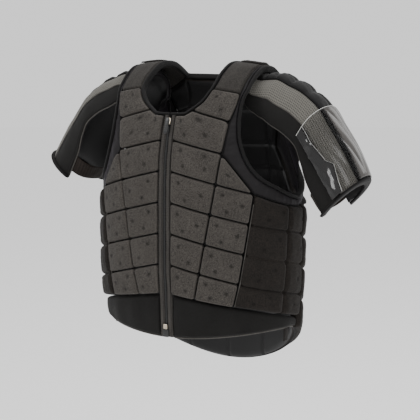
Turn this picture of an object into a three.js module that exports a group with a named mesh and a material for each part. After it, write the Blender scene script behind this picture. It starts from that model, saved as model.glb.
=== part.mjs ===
// Segmented body protector vest with a pair of shoulder protectors on it, shown in the form it has when worn.
// Millimetres, +Z up. The wearer faces -Y and the wearer's left is +X.
// The origin is midway between the shoulders, at the height where the straps rest on them.
import * as THREE from 'three';

// Vest body
const BODY_HEIGHT = 576; // top of the shoulder straps to the tail of the back
const STRAP_TOP = 24; // top of the shoulders above the origin
const HALF_WIDTH = 201; // chest, outside
const FRONT_DEPTH = 140;
const BACK_DEPTH = 135;
const BLOCK_THICKNESS = 15.4; // foam block with its cover
const LINING_THICKNESS = 5;
const STRAP_THICKNESS = 10.6;
const STRAP_DEPTH = 3.4; // depth of a strap's outer face below the surface that its flap lies in
const LAYER_GAP = 0.6; // between a layer and the layer that it is sewn to
const LINING_GAP = 0.95; // between the front blocks and their lining
const SEAM_GAP = 0.5; // between two pieces that are sewn edge to edge
const NECK_INNER_X = 70; // inner edge of a strap, from the middle
const NECK_DROP = 91; // top of the shoulders down to the front of the neck
const NAPE_DROP = 26; // top of the shoulders down to the back of the neck
const STRAP_SEAM_X = 129; // outer edge of a strap
const STRAP_OUTER_X = 140; // edge of the armhole beside it
const ARMHOLE_DEPTH = 230; // strap edge down to the bottom of the armhole
const FRONT_HEM_DROP = 494; // top of the shoulders down to the hem at the zip
const SIDE_HEM_DROP = 477; // top of the shoulders down to the hem at the sides

// Rows and grooves of the foam blocks
const ROW_PITCH = 55.4;
const LOWEST_ROW_DROP = 413.5; // top of the shoulders down to the lowest row line, at the zip
const ROW_SLANT = 0.24; // fall of a row line for each millimetre of girth, on the front
const SIDE_SLANT = 0.19; // the same, on the sides
const LOWEST_ROW_SLANT = 0.15; // the same, on the lowest row line
const GROOVE = 3.4; // channel between two blocks
const BLOCK_ROUNDING = 7; // width of a block's rounded edge
const BLOCK_EDGE_HEIGHT = 0.62; // share of the thickness left at a block's edge
const PANEL_GROOVE_DEPTH = 7; // groove in the side and back panels
const PANEL_GROOVE_ROUNDING = 6;
const BACK_ROWS = 8;
const BACK_COLUMNS = 4;

// Zip
const ZIP_COIL_WIDTH = 5;
const ZIP_FLAP_WIDTH = 9.5;
const ZIP_DEPTH = 5; // how far the zip lies below the blocks' faces
const COIL_SINK = 2; // how far the coil lies below the flaps beside it
const SLIDER = { width: 10, length: 13, thickness: 4.5, drop: 5 };
const PULLER = { width: 8, length: 30, thickness: 2.4 };

// Edges, straps and tabs
const ARMHOLE_BINDING_WIDTH = 6;
const NECK_BINDING_WIDTH = 5;
const BINDING_PROUD = 2.5; // depth of a binding's outer face below the blocks' faces
const BINDING_WRAP = 1; // how far a binding reaches past the layer that it wraps
const RING_DEPTH = 6; // depth of the armhole padding's outer face below the blocks' faces
const RING_THICKNESS = 8;
const RING_CLEARANCE = 1.2; // between the armhole padding and a side or back panel
const YOKE_DEPTH = 8; // depth of the plain hem panel's outer face below the blocks' faces
const YOKE_EDGE = { share: 0.12, sink: 1.5 }; // rounded lower edge of the hem panel
const FLAP_THICKNESS = 2.6;
const TAB = { width: 16, length: 26, thickness: 2.4, depth: 12, girth: 84 };

// Shoulder protectors
const SLEEVE_DROP = 181; // origin down to the ridge at the hem
// reach is the middle of the vest to the ridge at the hem and lift is how much higher than SLEEVE_DROP
// that is held. lean is a factor on every section's lean, and turn moves the panels round the arm.
const SLEEVE_SIDES = [
  { side: 'left', reach: 331, lift: 0, lean: 1, turn: 0 },
  { side: 'right', reach: 327, lift: 23, lean: 1.16, turn: -20 },
];
const SLEEVE_RADIUS = 60; // half the width over the upper arm
const PAD_THICKNESS = 7.4;
const SLEEVE_SHELL_THICKNESS = 7;
const SLEEVE_COVER_THICKNESS = 2.4; // air mesh and front band
const SLEEVE_SEAM = 0.8; // degrees left between two covers
const HEM_BINDING_WIDTH = 6;
const ARM_STRAP = { width: 34, thickness: 2.6, sink: 1, hemGap: 10, flatness: 0.74 };
const POCKET = { front: 82, back: -60, thickness: 1.2, bulge: 6, roundness: 0.6 };

// Cross sections of the vest's outer surface. drop is a share of BODY_HEIGHT below STRAP_TOP,
// width, front and back are shares of HALF_WIDTH, FRONT_DEPTH and BACK_DEPTH, and fullness is 2 for
// an ellipse and more for a squarer section.
const BODY_SECTIONS = [
  { drop: 0.000, width: 0.296, front: 0.086, back: 0.089, fullness: 2.40 },
  { drop: 0.003, width: 0.473, front: 0.157, back: 0.170, fullness: 2.50 },
  { drop: 0.007, width: 0.591, front: 0.221, back: 0.244, fullness: 2.60 },
  { drop: 0.014, width: 0.670, front: 0.293, back: 0.326, fullness: 2.70 },
  { drop: 0.024, width: 0.724, front: 0.371, back: 0.415, fullness: 2.80 },
  { drop: 0.042, width: 0.773, front: 0.493, back: 0.556, fullness: 2.80 },
  { drop: 0.063, width: 0.808, front: 0.600, back: 0.667, fullness: 2.80 },
  { drop: 0.094, width: 0.842, front: 0.721, back: 0.778, fullness: 2.80 },
  { drop: 0.129, width: 0.887, front: 0.779, back: 0.844, fullness: 2.70 },
  { drop: 0.181, width: 0.936, front: 0.857, back: 0.911, fullness: 2.50 },
  { drop: 0.251, width: 0.970, front: 0.936, back: 0.963, fullness: 2.35 },
  { drop: 0.338, width: 0.990, front: 0.986, back: 0.993, fullness: 2.20 },
  { drop: 0.477, width: 1.000, front: 1.000, back: 0.970, fullness: 2.15 },
  { drop: 0.617, width: 1.000, front: 1.000, back: 0.933, fullness: 2.15 },
  { drop: 0.739, width: 0.985, front: 0.971, back: 0.919, fullness: 2.15 },
  { drop: 0.843, width: 0.970, front: 0.950, back: 0.925, fullness: 2.15 },
  { drop: 1.000, width: 0.940, front: 0.929, back: 0.925, fullness: 2.15 },
];

// Half an armhole, from the top of the strap to its lowest point. edge is the hole's own edge and
// blocks is where the foam blocks end, both in degrees of girth from the zip. The drops are
// shares of ARMHOLE_DEPTH below the strap's edge. corner names a row where blocks meet.
const ARMHOLE = [
  { edge: 90.0, edgeDrop: 0.000, blocks: 90.0, blocksDrop: -0.017 },
  { edge: 60.0, edgeDrop: 0.045, blocks: 57.0, blocksDrop: 0.020 },
  { edge: 48.0, edgeDrop: 0.170, blocks: 41.9, blocksDrop: 0.200, corner: 'strap end' },
  { edge: 42.5, edgeDrop: 0.300, blocks: 38.3, blocksDrop: 0.307 },
  { edge: 41.2, edgeDrop: 0.422, blocks: 34.8, blocksDrop: 0.413, corner: 'chest' },
  { edge: 41.6, edgeDrop: 0.522, blocks: 33.1, blocksDrop: 0.535 },
  { edge: 44.2, edgeDrop: 0.643, blocks: 31.4, blocksDrop: 0.657, corner: 'notch' },
  { edge: 49.8, edgeDrop: 0.770, blocks: 40.8, blocksDrop: 0.811 },
  { edge: 57.3, edgeDrop: 0.852, blocks: 50.2, blocksDrop: 0.965, corner: 'side' },
  { edge: 67.0, edgeDrop: 0.908, blocks: 63.0, blocksDrop: 1.022 },
  { edge: 78.2, edgeDrop: 0.963, blocks: 76.0, blocksDrop: 1.060 },
  { edge: 90.0, edgeDrop: 1.000, blocks: 90.0, blocksDrop: 1.080 },
];
const cornerRow = (name) => ARMHOLE.findIndex((row) => row.corner === name);
const STRAP_END = cornerRow('strap end');
const CHEST_CORNER = cornerRow('chest');
const NOTCH = cornerRow('notch');
const SIDE_CORNER = cornerRow('side');
const ARMPIT = ARMHOLE.length - 1;

// Front edge of the neck, from the zip to where the strap begins: degrees of girth, and drop as
// a share of NECK_DROP.
const NECK = [
  { girth: 0.0, drop: 1.000 },
  { girth: 8.5, drop: 0.990 },
  { girth: 12.0, drop: 0.920 },
  { girth: 19.0, drop: 0.735 },
  { girth: 23.2, drop: 0.516 },
];
// Places along NECK: whole numbers are its rows
const ZIP_END = 0.4;
const ZIP_CORNER = 0.5; // top corner of the highest block, beside the zip
const NECK_TURN = 1.1; // where that block's top edge turns up along the neck
const CHEST_NECK = 2.1; // where the highest row line meets the neck
const NECK_STRAP_GIRTH = 25; // degrees at which the neck edge becomes the strap's straight edge

// Seams between block columns, in degrees of girth at the row line that starts them and at the lowest one
const SEAM_INNER = { high: 31.4, low: 16.7, rows: 5 };
const SEAM_OUTER = { high: 50.2, low: 38.4, rows: 4 };
const SIDE_SEAM = 75;
const SIDE_PANEL_END = 97;
const BACK_SEAM = 154; // degrees of girth of the seam beside the middle of the back
const BACK_HEM_CURVE = 1.5; // how sharply the back hem falls towards the spine

// Ridge of a shoulder protector. x is a share of its reach, z of SLEEVE_DROP, and wide and high are
// shares of SLEEVE_RADIUS: half the width, and the height of the arch. lean is how many degrees
// the arch leans away from the neck, and front is the front edge, in degrees round from the ridge.
const SLEEVE_SECTIONS = [
  { x: 0.293, z: 0.040, wide: 0.86, high: 0.70, lean: 0, front: 97 },
  { x: 0.338, z: 0.022, wide: 0.90, high: 0.75, lean: 3, front: 97 },
  { x: 0.375, z: -0.008, wide: 0.93, high: 0.84, lean: 7, front: 97 },
  { x: 0.402, z: -0.016, wide: 0.95, high: 0.92, lean: 8, front: 97 },
  { x: 0.440, z: -0.008, wide: 0.97, high: 1.03, lean: 9, front: 97 },
  { x: 0.498, z: 0.000, wide: 1.00, high: 1.17, lean: 12, front: 97 },
  { x: 0.574, z: -0.055, wide: 1.03, high: 1.22, lean: 16, front: 97 },
  { x: 0.650, z: -0.116, wide: 1.04, high: 1.24, lean: 20, front: 97 },
  { x: 0.761, z: -0.282, wide: 1.03, high: 1.20, lean: 28, front: 97 },
  { x: 0.825, z: -0.453, wide: 1.02, high: 1.17, lean: 35, front: 101 },
  { x: 0.903, z: -0.674, wide: 1.00, high: 1.12, lean: 42, front: 114 },
  { x: 1.000, z: -1.000, wide: 0.96, high: 1.02, lean: 45.6, front: 124 },
];
// Edges of a shoulder protector's panels, in degrees round from the ridge, and the facets between
const SLEEVE_BACK = -104;
const PAD_BACK = -95;
const MESH_BACK = 24;
const MESH_FRONT = 66;
const PAD_FACETS = 6;
const MESH_FACETS = 3;
const BAND_FACETS = 2;
const ARM_STRAP_FACETS = 10;
const POCKET_FACETS = 9;
const POCKET_SECTIONS = 3; // how many of the last sections the clear pocket covers

const COLOURS = {
  block: 0x46423e,
  side: 0x2a2624,
  yoke: 0x302f2e,
  plain: 0x232221,
  lining: 0x141315,
  zip: 0x3a3735,
  coil: 0x0c0c0c,
  metal: 0x9a9792,
  mesh: 0x6b6964,
  strap: 0x2b2826,
  binding: 0x101010,
  clear: 0xb9b8b4,
};

const group = new THREE.Group();
const { lerp, clamp, degToRad, smoothstep } = THREE.MathUtils;
const range = (count) => Array.from({ length: count + 1 }, (_, i) => i / count);
const column = (rows, key) => rows.map((row) => row[key]);

// A smooth curve through table rows that never overshoots them
function curveThrough(x, y) {
  const slope = x.slice(1).map((end, i) => (y[i + 1] - y[i]) / (end - x[i]));
  const tangent = x.map((_, i) => {
    if (i === 0) return slope[0];
    if (i === x.length - 1) return slope[i - 1];
    if (slope[i - 1] * slope[i] <= 0) return 0;
    return (2 * slope[i - 1] * slope[i]) / (slope[i - 1] + slope[i]);
  });
  return (at) => {
    let i = 0;
    while (i < x.length - 2 && at > x[i + 1]) i += 1;
    const span = x[i + 1] - x[i];
    const t = clamp((at - x[i]) / span, 0, 1);
    const lean = t * (1 - t) * span * ((1 - t) * tangent[i] - t * tangent[i + 1]);
    return lerp(y[i], y[i + 1], t * t * (3 - 2 * t)) + lean;
  };
}
const drops = column(BODY_SECTIONS, 'drop');
const widthAt = curveThrough(drops, column(BODY_SECTIONS, 'width'));
const frontAt = curveThrough(drops, column(BODY_SECTIONS, 'front'));
const backAt = curveThrough(drops, column(BODY_SECTIONS, 'back'));
const fullnessAt = curveThrough(drops, column(BODY_SECTIONS, 'fullness'));
const shareAt = (z) => (STRAP_TOP - z) / BODY_HEIGHT;

// Girth round the chest, from the zip over the wearer's left side to the spine and beyond
const HALF_TURN = 180;
const girthTable = [0];
for (let i = 1; i <= HALF_TURN; i += 1) {
  const angle = degToRad(i - 0.5);
  const depth = angle < Math.PI / 2 ? FRONT_DEPTH : BACK_DEPTH;
  const step = Math.hypot(HALF_WIDTH * Math.cos(angle), depth * Math.sin(angle)) * degToRad(1);
  girthTable.push(girthTable[i - 1] + step);
}
const HALF_GIRTH = girthTable[HALF_TURN];
function girthLength(degrees) {
  const whole = Math.min(Math.floor(degrees), HALF_TURN - 1);
  return lerp(girthTable[whole], girthTable[whole + 1], degrees - whole);
}
function girthDegrees(length) {
  if (length < 0) return -girthDegrees(-length);
  if (length > HALF_GIRTH) return 2 * HALF_TURN - girthDegrees(2 * HALF_GIRTH - length);
  let i = 0;
  while (i < HALF_TURN - 1 && girthTable[i + 1] < length) i += 1;
  return i + (length - girthTable[i]) / (girthTable[i + 1] - girthTable[i]);
}

// Places on the vest are [girth length, z]. depth is how far below the outer surface a point lies.
function surface([length, z]) {
  const share = shareAt(z);
  const angle = degToRad(girthDegrees(length));
  const [sine, cosine] = [Math.sin(angle), Math.cos(angle)];
  const power = fullnessAt(share);
  const reach = (Math.abs(sine) ** power + Math.abs(cosine) ** power) ** (-1 / power);
  const depth = cosine > 0 ? frontAt(share) * FRONT_DEPTH : backAt(share) * BACK_DEPTH;
  return new THREE.Vector3(widthAt(share) * HALF_WIDTH * reach * sine, -depth * reach * cosine, z);
}
const STEP = 0.05;
function tangents([length, z]) {
  const round = surface([length + STEP, z]).sub(surface([length - STEP, z])).divideScalar(2 * STEP);
  const rise = surface([length, z + STEP]).sub(surface([length, z - STEP])).divideScalar(2 * STEP);
  return { round, rise, normal: round.clone().cross(rise).normalize() };
}
const below = (spot, depth) => surface(spot).addScaledVector(tangents(spot).normal, -depth);
const between = (a, b, t) => [lerp(a[0], b[0], t), lerp(a[1], b[1], t)];
const place = (degrees, z) => [girthLength(degrees), z];

// A line's place moved square to the line along the surface, to its left as seen from outside
function sideways(line, at, distance) {
  const start = line(at);
  const { round, rise, normal } = tangents(start);
  const along = surface(line(at + STEP)).sub(surface(line(at - STEP)));
  const wanted = normal.clone().cross(along).setLength(Math.abs(distance));
  wanted.multiplyScalar(Math.sign(distance));
  const [a, b, c] = [round.dot(round), round.dot(rise), rise.dot(rise)];
  const [p, q] = [wanted.dot(round), wanted.dot(rise)];
  const det = a * c - b * b;
  return [start[0] + (p * c - q * b) / det, start[1] + (q * a - p * b) / det];
}

// Where the surface is x from the middle, along a line of one girth
function placeAtX(x, degrees) {
  const length = girthLength(degrees);
  let low = STRAP_TOP - BODY_HEIGHT * 0.4;
  let high = STRAP_TOP;
  for (let i = 0; i < 50; i += 1) {
    const middle = (low + high) / 2;
    if (surface([length, middle]).x > x) low = middle;
    else high = middle;
  }
  return [length, low];
}

// A closed solid between two grids of points. ring closes the first direction on itself.
function slab(outer, inner, ring = false) {
  const nu = outer.length;
  const nv = outer[0].length;
  const far = nu * nv;
  const at = (i, j) => (i % nu) * nv + j;
  const index = [];
  const quad = (a, b, c, d) => index.push(a, b, c, a, c, d);
  for (let i = 0; i < nu - (ring ? 0 : 1); i += 1) {
    for (let j = 0; j < nv - 1; j += 1) {
      quad(at(i, j), at(i + 1, j), at(i + 1, j + 1), at(i, j + 1));
      quad(far + at(i, j), far + at(i, j + 1), far + at(i + 1, j + 1), far + at(i + 1, j));
    }
    quad(at(i, 0), far + at(i, 0), far + at(i + 1, 0), at(i + 1, 0));
    quad(at(i, nv - 1), at(i + 1, nv - 1), far + at(i + 1, nv - 1), far + at(i, nv - 1));
  }
  for (let j = 0; j < nv - 1 && !ring; j += 1) {
    quad(at(0, j), at(0, j + 1), far + at(0, j + 1), far + at(0, j));
    quad(at(nu - 1, j), far + at(nu - 1, j), far + at(nu - 1, j + 1), at(nu - 1, j + 1));
  }
  const points = [...outer.flat(), ...inner.flat()].flatMap((p) => [p.x, p.y, p.z]);
  const geometry = new THREE.BufferGeometry();
  geometry.setAttribute('position', new THREE.Float32BufferAttribute(points, 3));
  geometry.setIndex(index);
  return geometry;
}

// A slab on the vest's surface. spot(u, v) gives a place, depths(u, v) its outer and inner depth.
function patch(spot, depths, us, vs, ring = false) {
  const face = (side) => us.map((u) => vs.map((v) => below(spot(u, v), depths(u, v)[side])));
  return slab(face(0), face(1), ring);
}

function mirrored(geometry) {
  const copy = geometry.clone();
  const position = copy.getAttribute('position');
  for (let i = 0; i < position.count; i += 1) position.setX(i, -position.getX(i));
  const index = copy.getIndex();
  for (let i = 0; i < index.count; i += 3) {
    const swap = index.getX(i + 1);
    index.setX(i + 1, index.getX(i + 2));
    index.setX(i + 2, swap);
  }
  return copy;
}

function add(name, geometry, colour, roughness = 0.85, metalness = 0) {
  const shape = geometry.index ? geometry.toNonIndexed() : geometry;
  shape.computeVertexNormals();
  const material = new THREE.MeshStandardMaterial({ color: colour, roughness, metalness });
  const mesh = new THREE.Mesh(shape, material);
  mesh.name = name;
  group.add(mesh);
  return mesh;
}
function addPair(name, geometry, colour, roughness) {
  add(`${name}_left`, geometry, colour, roughness);
  add(`${name}_right`, mirrored(geometry), colour, roughness);
}

// Lines that the pieces share
const liningTop = BLOCK_THICKNESS + LINING_GAP;
const wall = liningTop + LINING_THICKNESS;
const zipEdge = ZIP_COIL_WIDTH / 2 + SEAM_GAP + ZIP_FLAP_WIDTH + SEAM_GAP;
const strapEdgeZ = placeAtX(STRAP_OUTER_X, 90)[1];

function rowLine(row, length) {
  const front = Math.min(length, girthLength(SEAM_OUTER.high));
  const slant = row === 0 ? LOWEST_ROW_SLANT : ROW_SLANT;
  return STRAP_TOP - LOWEST_ROW_DROP + row * ROW_PITCH - slant * front - SIDE_SLANT * (length - front);
}
const onRow = (row, length) => [length, rowLine(row, length)];
const seamPlace = (seam, row) => onRow(row, girthLength(lerp(seam.low, seam.high, row / seam.rows)));

const stations = ARMHOLE.map((_, i) => i);
const edgeGirth = curveThrough(stations, column(ARMHOLE, 'edge'));
const edgeDrop = curveThrough(stations, column(ARMHOLE, 'edgeDrop'));
const blocksGirth = curveThrough(stations, column(ARMHOLE, 'blocks'));
const onArmhole = (degrees, drop) => place(degrees, strapEdgeZ - drop * ARMHOLE_DEPTH);
// Beside the strap both lines run nearly straight from front to back
function besideStrap(at, x, degrees, end) {
  return placeAtX(lerp(x, surface(onArmhole(...end)).x, at / STRAP_END), degrees(at));
}
const strapEnd = ARMHOLE[STRAP_END];
function edgePlace(at) {
  if (at >= STRAP_END) return onArmhole(edgeGirth(at), edgeDrop(at));
  return besideStrap(at, STRAP_OUTER_X, edgeGirth, [strapEnd.edge, strapEnd.edgeDrop]);
}
function blocksPlace(at) {
  const end = [strapEnd.blocks, strapEnd.blocksDrop];
  if (at < STRAP_END) return besideStrap(at, STRAP_SEAM_X, blocksGirth, end);
  const i = Math.min(Math.floor(at), ARMPIT - 1);
  const [a, b] = [ARMHOLE[i], ARMHOLE[i + 1]];
  return between(onArmhole(a.blocks, a.blocksDrop), onArmhole(b.blocks, b.blocksDrop), at - i);
}
// The same lines all the way round: down the front from the strap's top, and up the back
const ARMHOLE_TURN = 2 * ARMPIT;
function roundArmhole(line, at) {
  const turn = ((at % ARMHOLE_TURN) + ARMHOLE_TURN) % ARMHOLE_TURN;
  if (turn <= ARMPIT) return line(turn);
  const [length, z] = line(ARMHOLE_TURN - turn);
  return place(HALF_TURN - girthDegrees(length), z);
}
const edgeLoop = (at) => roundArmhole(edgePlace, at);
const blocksLoop = (at) => roundArmhole(blocksPlace, at);

// Neck edge from the zip over the left shoulder to the spine. Whole numbers up to NECK_END are
// rows of NECK, the shoulder takes the next SHOULDER_ROWS, and the nape takes NAPE_ROWS more.
const NECK_END = NECK.length - 1;
const SHOULDER_ROWS = 6;
const NAPE_ROWS = 3;
const SHOULDER_START = NECK_END + 1;
const NAPE_START = SHOULDER_START + SHOULDER_ROWS;
const neckStrapZ = placeAtX(NECK_INNER_X, NECK_STRAP_GIRTH)[1];
const neckRows = [...NECK.map((_, i) => i), SHOULDER_START];
const neckGirth = curveThrough(neckRows, [...column(NECK, 'girth'), NECK_STRAP_GIRTH]);
const neckHeights = column(NECK, 'drop').map((drop) => STRAP_TOP - drop * NECK_DROP);
const neckZ = curveThrough(neckRows, [...neckHeights, neckStrapZ]);
function neckPlace(at) {
  if (at <= SHOULDER_START) return place(neckGirth(at), neckZ(at));
  const over = (at - SHOULDER_START) / SHOULDER_ROWS;
  if (over <= 1) return placeAtX(NECK_INNER_X, lerp(NECK_STRAP_GIRTH, HALF_TURN - NECK_STRAP_GIRTH, over));
  const nape = (at - NAPE_START) / NAPE_ROWS;
  const z = lerp(neckStrapZ, STRAP_TOP - NAPE_DROP, smoothstep(nape, 0, 1));
  return [lerp(girthLength(HALF_TURN - NECK_STRAP_GIRTH), HALF_GIRTH, nape), z];
}
const neckSeam = (at) => sideways(neckPlace, at, -(NECK_BINDING_WIDTH + SEAM_GAP));

// Foam blocks
function insetCorners(corners, distance) {
  const into = (a, b) => {
    const size = Math.hypot(b[0] - a[0], b[1] - a[1]);
    return [-(b[1] - a[1]) / size, (b[0] - a[0]) / size];
  };
  return corners.map((corner, i) => {
    const n = into(corners[(i + corners.length - 1) % corners.length], corner);
    const m = into(corner, corners[(i + 1) % corners.length]);
    const scale = distance / (1 + n[0] * m[0] + n[1] * m[1]);
    return [corner[0] + (n[0] + m[0]) * scale, corner[1] + (n[1] + m[1]) * scale];
  });
}

// corners run inner bottom, outer bottom, outer top and on along the top edge to inner top.
// bulge(v) moves the inner edge sideways where it isn't straight.
const BLOCK_FACET = 24; // widest facet of a block
const BLOCK_LEVELS = 4;
const BLOCK_RIM_LIMIT = 0.22; // largest share of a block's side that its rounded edge takes up
const BLOCK_SHOULDER = 0.12; // share of the edge's fall that is reached where the rounding begins
const straight = () => [0, 0];
function addBlock(name, corners, bulge = straight) {
  const [p, q, ...rest] = insetCorners(corners, GROOVE / 2);
  const top = rest.reverse();
  const along = (t) => {
    const i = Math.min(Math.floor(t * (top.length - 1)), top.length - 2);
    return between(top[i], top[i + 1], t * (top.length - 1) - i);
  };
  const size = (a, b) => Math.hypot(b[0] - a[0], b[1] - a[1]);
  const edge = (width) => Math.min(BLOCK_ROUNDING / width, BLOCK_RIM_LIMIT);
  const [edgeU, edgeV] = [edge(size(p, q)), edge((size(p, top[0]) + size(q, top.at(-1))) / 2)];
  const steps = (count, rim) => [0, ...range(count - 2).map((t) => lerp(rim, 1 - rim, t)), 1];
  const widest = Math.max(size(p, q), size(top[0], top.at(-1)));
  const columns = 2 + Math.max(2, Math.round(widest / BLOCK_FACET));
  const sunk = BLOCK_THICKNESS * (1 - BLOCK_EDGE_HEIGHT);
  const depths = (u, v) => {
    const rim = Math.min(u, 1 - u, v, 1 - v) < 0.001;
    const shoulder = Math.min(u, 1 - u) < edgeU + 0.001 || Math.min(v, 1 - v) < edgeV + 0.001;
    return [rim ? sunk : (shoulder ? sunk * BLOCK_SHOULDER : 0), BLOCK_THICKNESS];
  };
  const spot = (u, v) => {
    const [length, z] = between(between(p, q, u), along(u), v);
    const [dl, dz] = bulge(v);
    return [length + dl * (1 - u), z + dz * (1 - u)];
  };
  addPair(name, patch(spot, depths, steps(columns, edgeU), steps(BLOCK_LEVELS, edgeV)), COLOURS.block);
}

const zipSide = (row) => onRow(row, zipEdge);
const TOP_ROW = SEAM_INNER.rows;
for (let row = 0; row < SEAM_OUTER.rows; row += 1) {
  addBlock(`block_inner_${row + 1}`, [
    zipSide(row), seamPlace(SEAM_INNER, row), seamPlace(SEAM_INNER, row + 1), zipSide(row + 1)]);
  const top = row + 1 < SEAM_OUTER.rows ? seamPlace(SEAM_OUTER, row + 1) : blocksPlace(SIDE_CORNER);
  addBlock(`block_outer_${row + 1}`, [
    seamPlace(SEAM_INNER, row), seamPlace(SEAM_OUTER, row), top, seamPlace(SEAM_INNER, row + 1)]);
}
addBlock(`block_inner_${TOP_ROW}`, [
  zipSide(TOP_ROW - 1), seamPlace(SEAM_INNER, TOP_ROW - 1), blocksPlace(NOTCH), zipSide(TOP_ROW)]);
const chestCorner = neckSeam(CHEST_NECK);
const zipTop = [zipEdge, neckSeam(ZIP_CORNER)[1]];
addBlock(`block_inner_${TOP_ROW + 1}`, [
  zipSide(TOP_ROW), blocksPlace(NOTCH), blocksPlace(CHEST_CORNER), chestCorner, neckSeam(NECK_TURN), zipTop]);
const chestBulge = (v) => {
  const curve = neckSeam(lerp(CHEST_NECK, NECK_END, v));
  const chord = between(chestCorner, neckSeam(NECK_END), v);
  return [curve[0] - chord[0], curve[1] - chord[1]];
};
addBlock('block_chest', [
  chestCorner, blocksPlace(CHEST_CORNER), blocksPlace(STRAP_END), neckSeam(NECK_END)], chestBulge);
const TRIANGLE_TIP = 0.1; // share of its sides cut off where they would meet in a point
addBlock('block_armhole', [
  seamPlace(SEAM_INNER, TOP_ROW - 1), blocksPlace(SIDE_CORNER),
  between(blocksPlace(NOTCH), blocksPlace(SIDE_CORNER), TRIANGLE_TIP),
  between(blocksPlace(NOTCH), seamPlace(SEAM_INNER, TOP_ROW - 1), TRIANGLE_TIP)]);

// Straps over the shoulders: rows pair a place on the neck seam with one on the armhole's seam
const STRAP_ROWS = [
  { neck: NECK_END, armhole: STRAP_END },
  { neck: SHOULDER_START, armhole: 1.5 },
  { neck: SHOULDER_START + 0.35, armhole: 1 },
  { neck: SHOULDER_START + 1, armhole: 0.5 },
  { neck: SHOULDER_START + 3, armhole: 0 },
  { neck: NAPE_START - 1, armhole: -0.5 },
  { neck: NAPE_START - 0.35, armhole: -1 },
  { neck: NAPE_START - 0.15, armhole: -1.5 },
  { neck: NAPE_START, armhole: -STRAP_END },
];
function strapSpot(u, row) {
  const i = Math.min(Math.floor(row), STRAP_ROWS.length - 2);
  const at = (key) => lerp(STRAP_ROWS[i][key], STRAP_ROWS[i + 1][key], row - i);
  return between(neckSeam(at('neck')), blocksLoop(at('armhole')), u);
}
const STRAP_END_GAP = 0.09; // share of the first row left open at each end of the strap
const strapLast = STRAP_ROWS.length - 1;
const strapMiddle = range(strapLast).map((t) => t * strapLast).slice(1, -1);
const strapRows = [STRAP_END_GAP, ...strapMiddle, strapLast - STRAP_END_GAP];
const STRAP_COLUMNS = [0.012, 0.12, 0.36, 0.64, 0.88, 0.988]; // shares of its width
const STRAP_EDGE_SINK = 2; // how far its side edges fall below its face
const FLAP_COLUMNS = STRAP_COLUMNS.slice(1, -1);
const FLAP_FIRST_ROW = 3.2; // just in front of the strap's top
const FLAP_END_GAP = 0.3; // share of the last row left bare behind the flap
const strapDepths = (u) => {
  const edge = u === STRAP_COLUMNS[0] || u === STRAP_COLUMNS.at(-1);
  return [STRAP_DEPTH + (edge ? STRAP_EDGE_SINK : 0), STRAP_DEPTH + STRAP_THICKNESS];
};
// The strap runs from front to back, so its rows count backwards to face outwards
addPair('shoulder_strap', patch(strapSpot, strapDepths, STRAP_COLUMNS, strapRows), COLOURS.strap);
const flapMiddle = strapMiddle.filter((row) => row > FLAP_FIRST_ROW);
const flapRows = [FLAP_FIRST_ROW, ...flapMiddle, strapLast - FLAP_END_GAP];
const flapBottom = STRAP_DEPTH - LAYER_GAP;
const flapDepths = () => [flapBottom - FLAP_THICKNESS, flapBottom];
addPair('shoulder_flap', patch(strapSpot, flapDepths, FLAP_COLUMNS, flapRows), COLOURS.plain);

// Lining behind the front blocks. Rows pair a place on the zip and neck side with one on the outer side.
const midway = (a, b) => (a + b) / 2;
const liningSide = [0, 1, 2, 3].map((row) => [onRow(row, SEAM_GAP), seamPlace(SEAM_OUTER, row)]);
const liningRows = [
  ...liningSide,
  [onRow(3.7, SEAM_GAP), blocksPlace(SIDE_CORNER)],
  [onRow(4.4, SEAM_GAP), blocksPlace(midway(NOTCH, SIDE_CORNER))],
  [onRow(5.2, SEAM_GAP), blocksPlace(NOTCH)],
  [[SEAM_GAP, neckSeam(ZIP_CORNER)[1]], blocksPlace(midway(CHEST_CORNER, NOTCH))],
  [neckSeam(NECK_TURN + 0.1), blocksPlace(lerp(CHEST_CORNER, NOTCH, 0.25))],
  [neckSeam(CHEST_NECK), blocksPlace(CHEST_CORNER)],
  [neckSeam(midway(CHEST_NECK, NECK_END)), blocksPlace(midway(STRAP_END, CHEST_CORNER))],
  [neckSeam(NECK_END), blocksPlace(STRAP_END)],
];
const LINING_COLUMNS = 7;
const LINING_SHARE = { from: 0.004, to: 0.989 }; // of the way from the inner to the outer line
const liningSpot = (u, row) => between(...liningRows[row], lerp(LINING_SHARE.from, LINING_SHARE.to, u));
const liningDepths = () => [liningTop, wall];
addPair('front_lining', patch(liningSpot, liningDepths, range(LINING_COLUMNS), liningRows.map((_, i) => i)),
  COLOURS.lining);

// Zip
const ZIP_FACETS = 8;
function zipStrip(left, right, depth) {
  const low = STRAP_TOP - FRONT_HEM_DROP;
  const high = neckSeam(ZIP_END)[1] - SEAM_GAP;
  const spot = (u, v) => [lerp(left, right, u), lerp(low, high, v)];
  return patch(spot, () => [depth, BLOCK_THICKNESS], range(1), range(ZIP_FACETS));
}
const coilSide = ZIP_COIL_WIDTH / 2;
add('zip_coil', zipStrip(-coilSide, coilSide, ZIP_DEPTH + COIL_SINK), COLOURS.coil, 0.6);
const zipFlap = zipStrip(coilSide + SEAM_GAP, coilSide + SEAM_GAP + ZIP_FLAP_WIDTH, ZIP_DEPTH);
addPair('zip_flap', zipFlap, COLOURS.zip);
function zipBox(name, size, top, lift) {
  const middle = [0, neckSeam(ZIP_END)[1] - top - size.length / 2];
  const box = new THREE.BoxGeometry(size.width, size.length, size.thickness);
  const mesh = add(name, box, COLOURS.metal, 0.4, 0.8);
  mesh.position.copy(below(middle, ZIP_DEPTH - lift - size.thickness / 2));
  mesh.lookAt(mesh.position.clone().add(tangents(middle).normal));
}
group.up.set(0, 0, 1);
zipBox('zip_slider', SLIDER, SLIDER.drop, LAYER_GAP);
zipBox('zip_puller', PULLER, SLIDER.drop, LAYER_GAP + SLIDER.thickness + LAYER_GAP);

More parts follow.
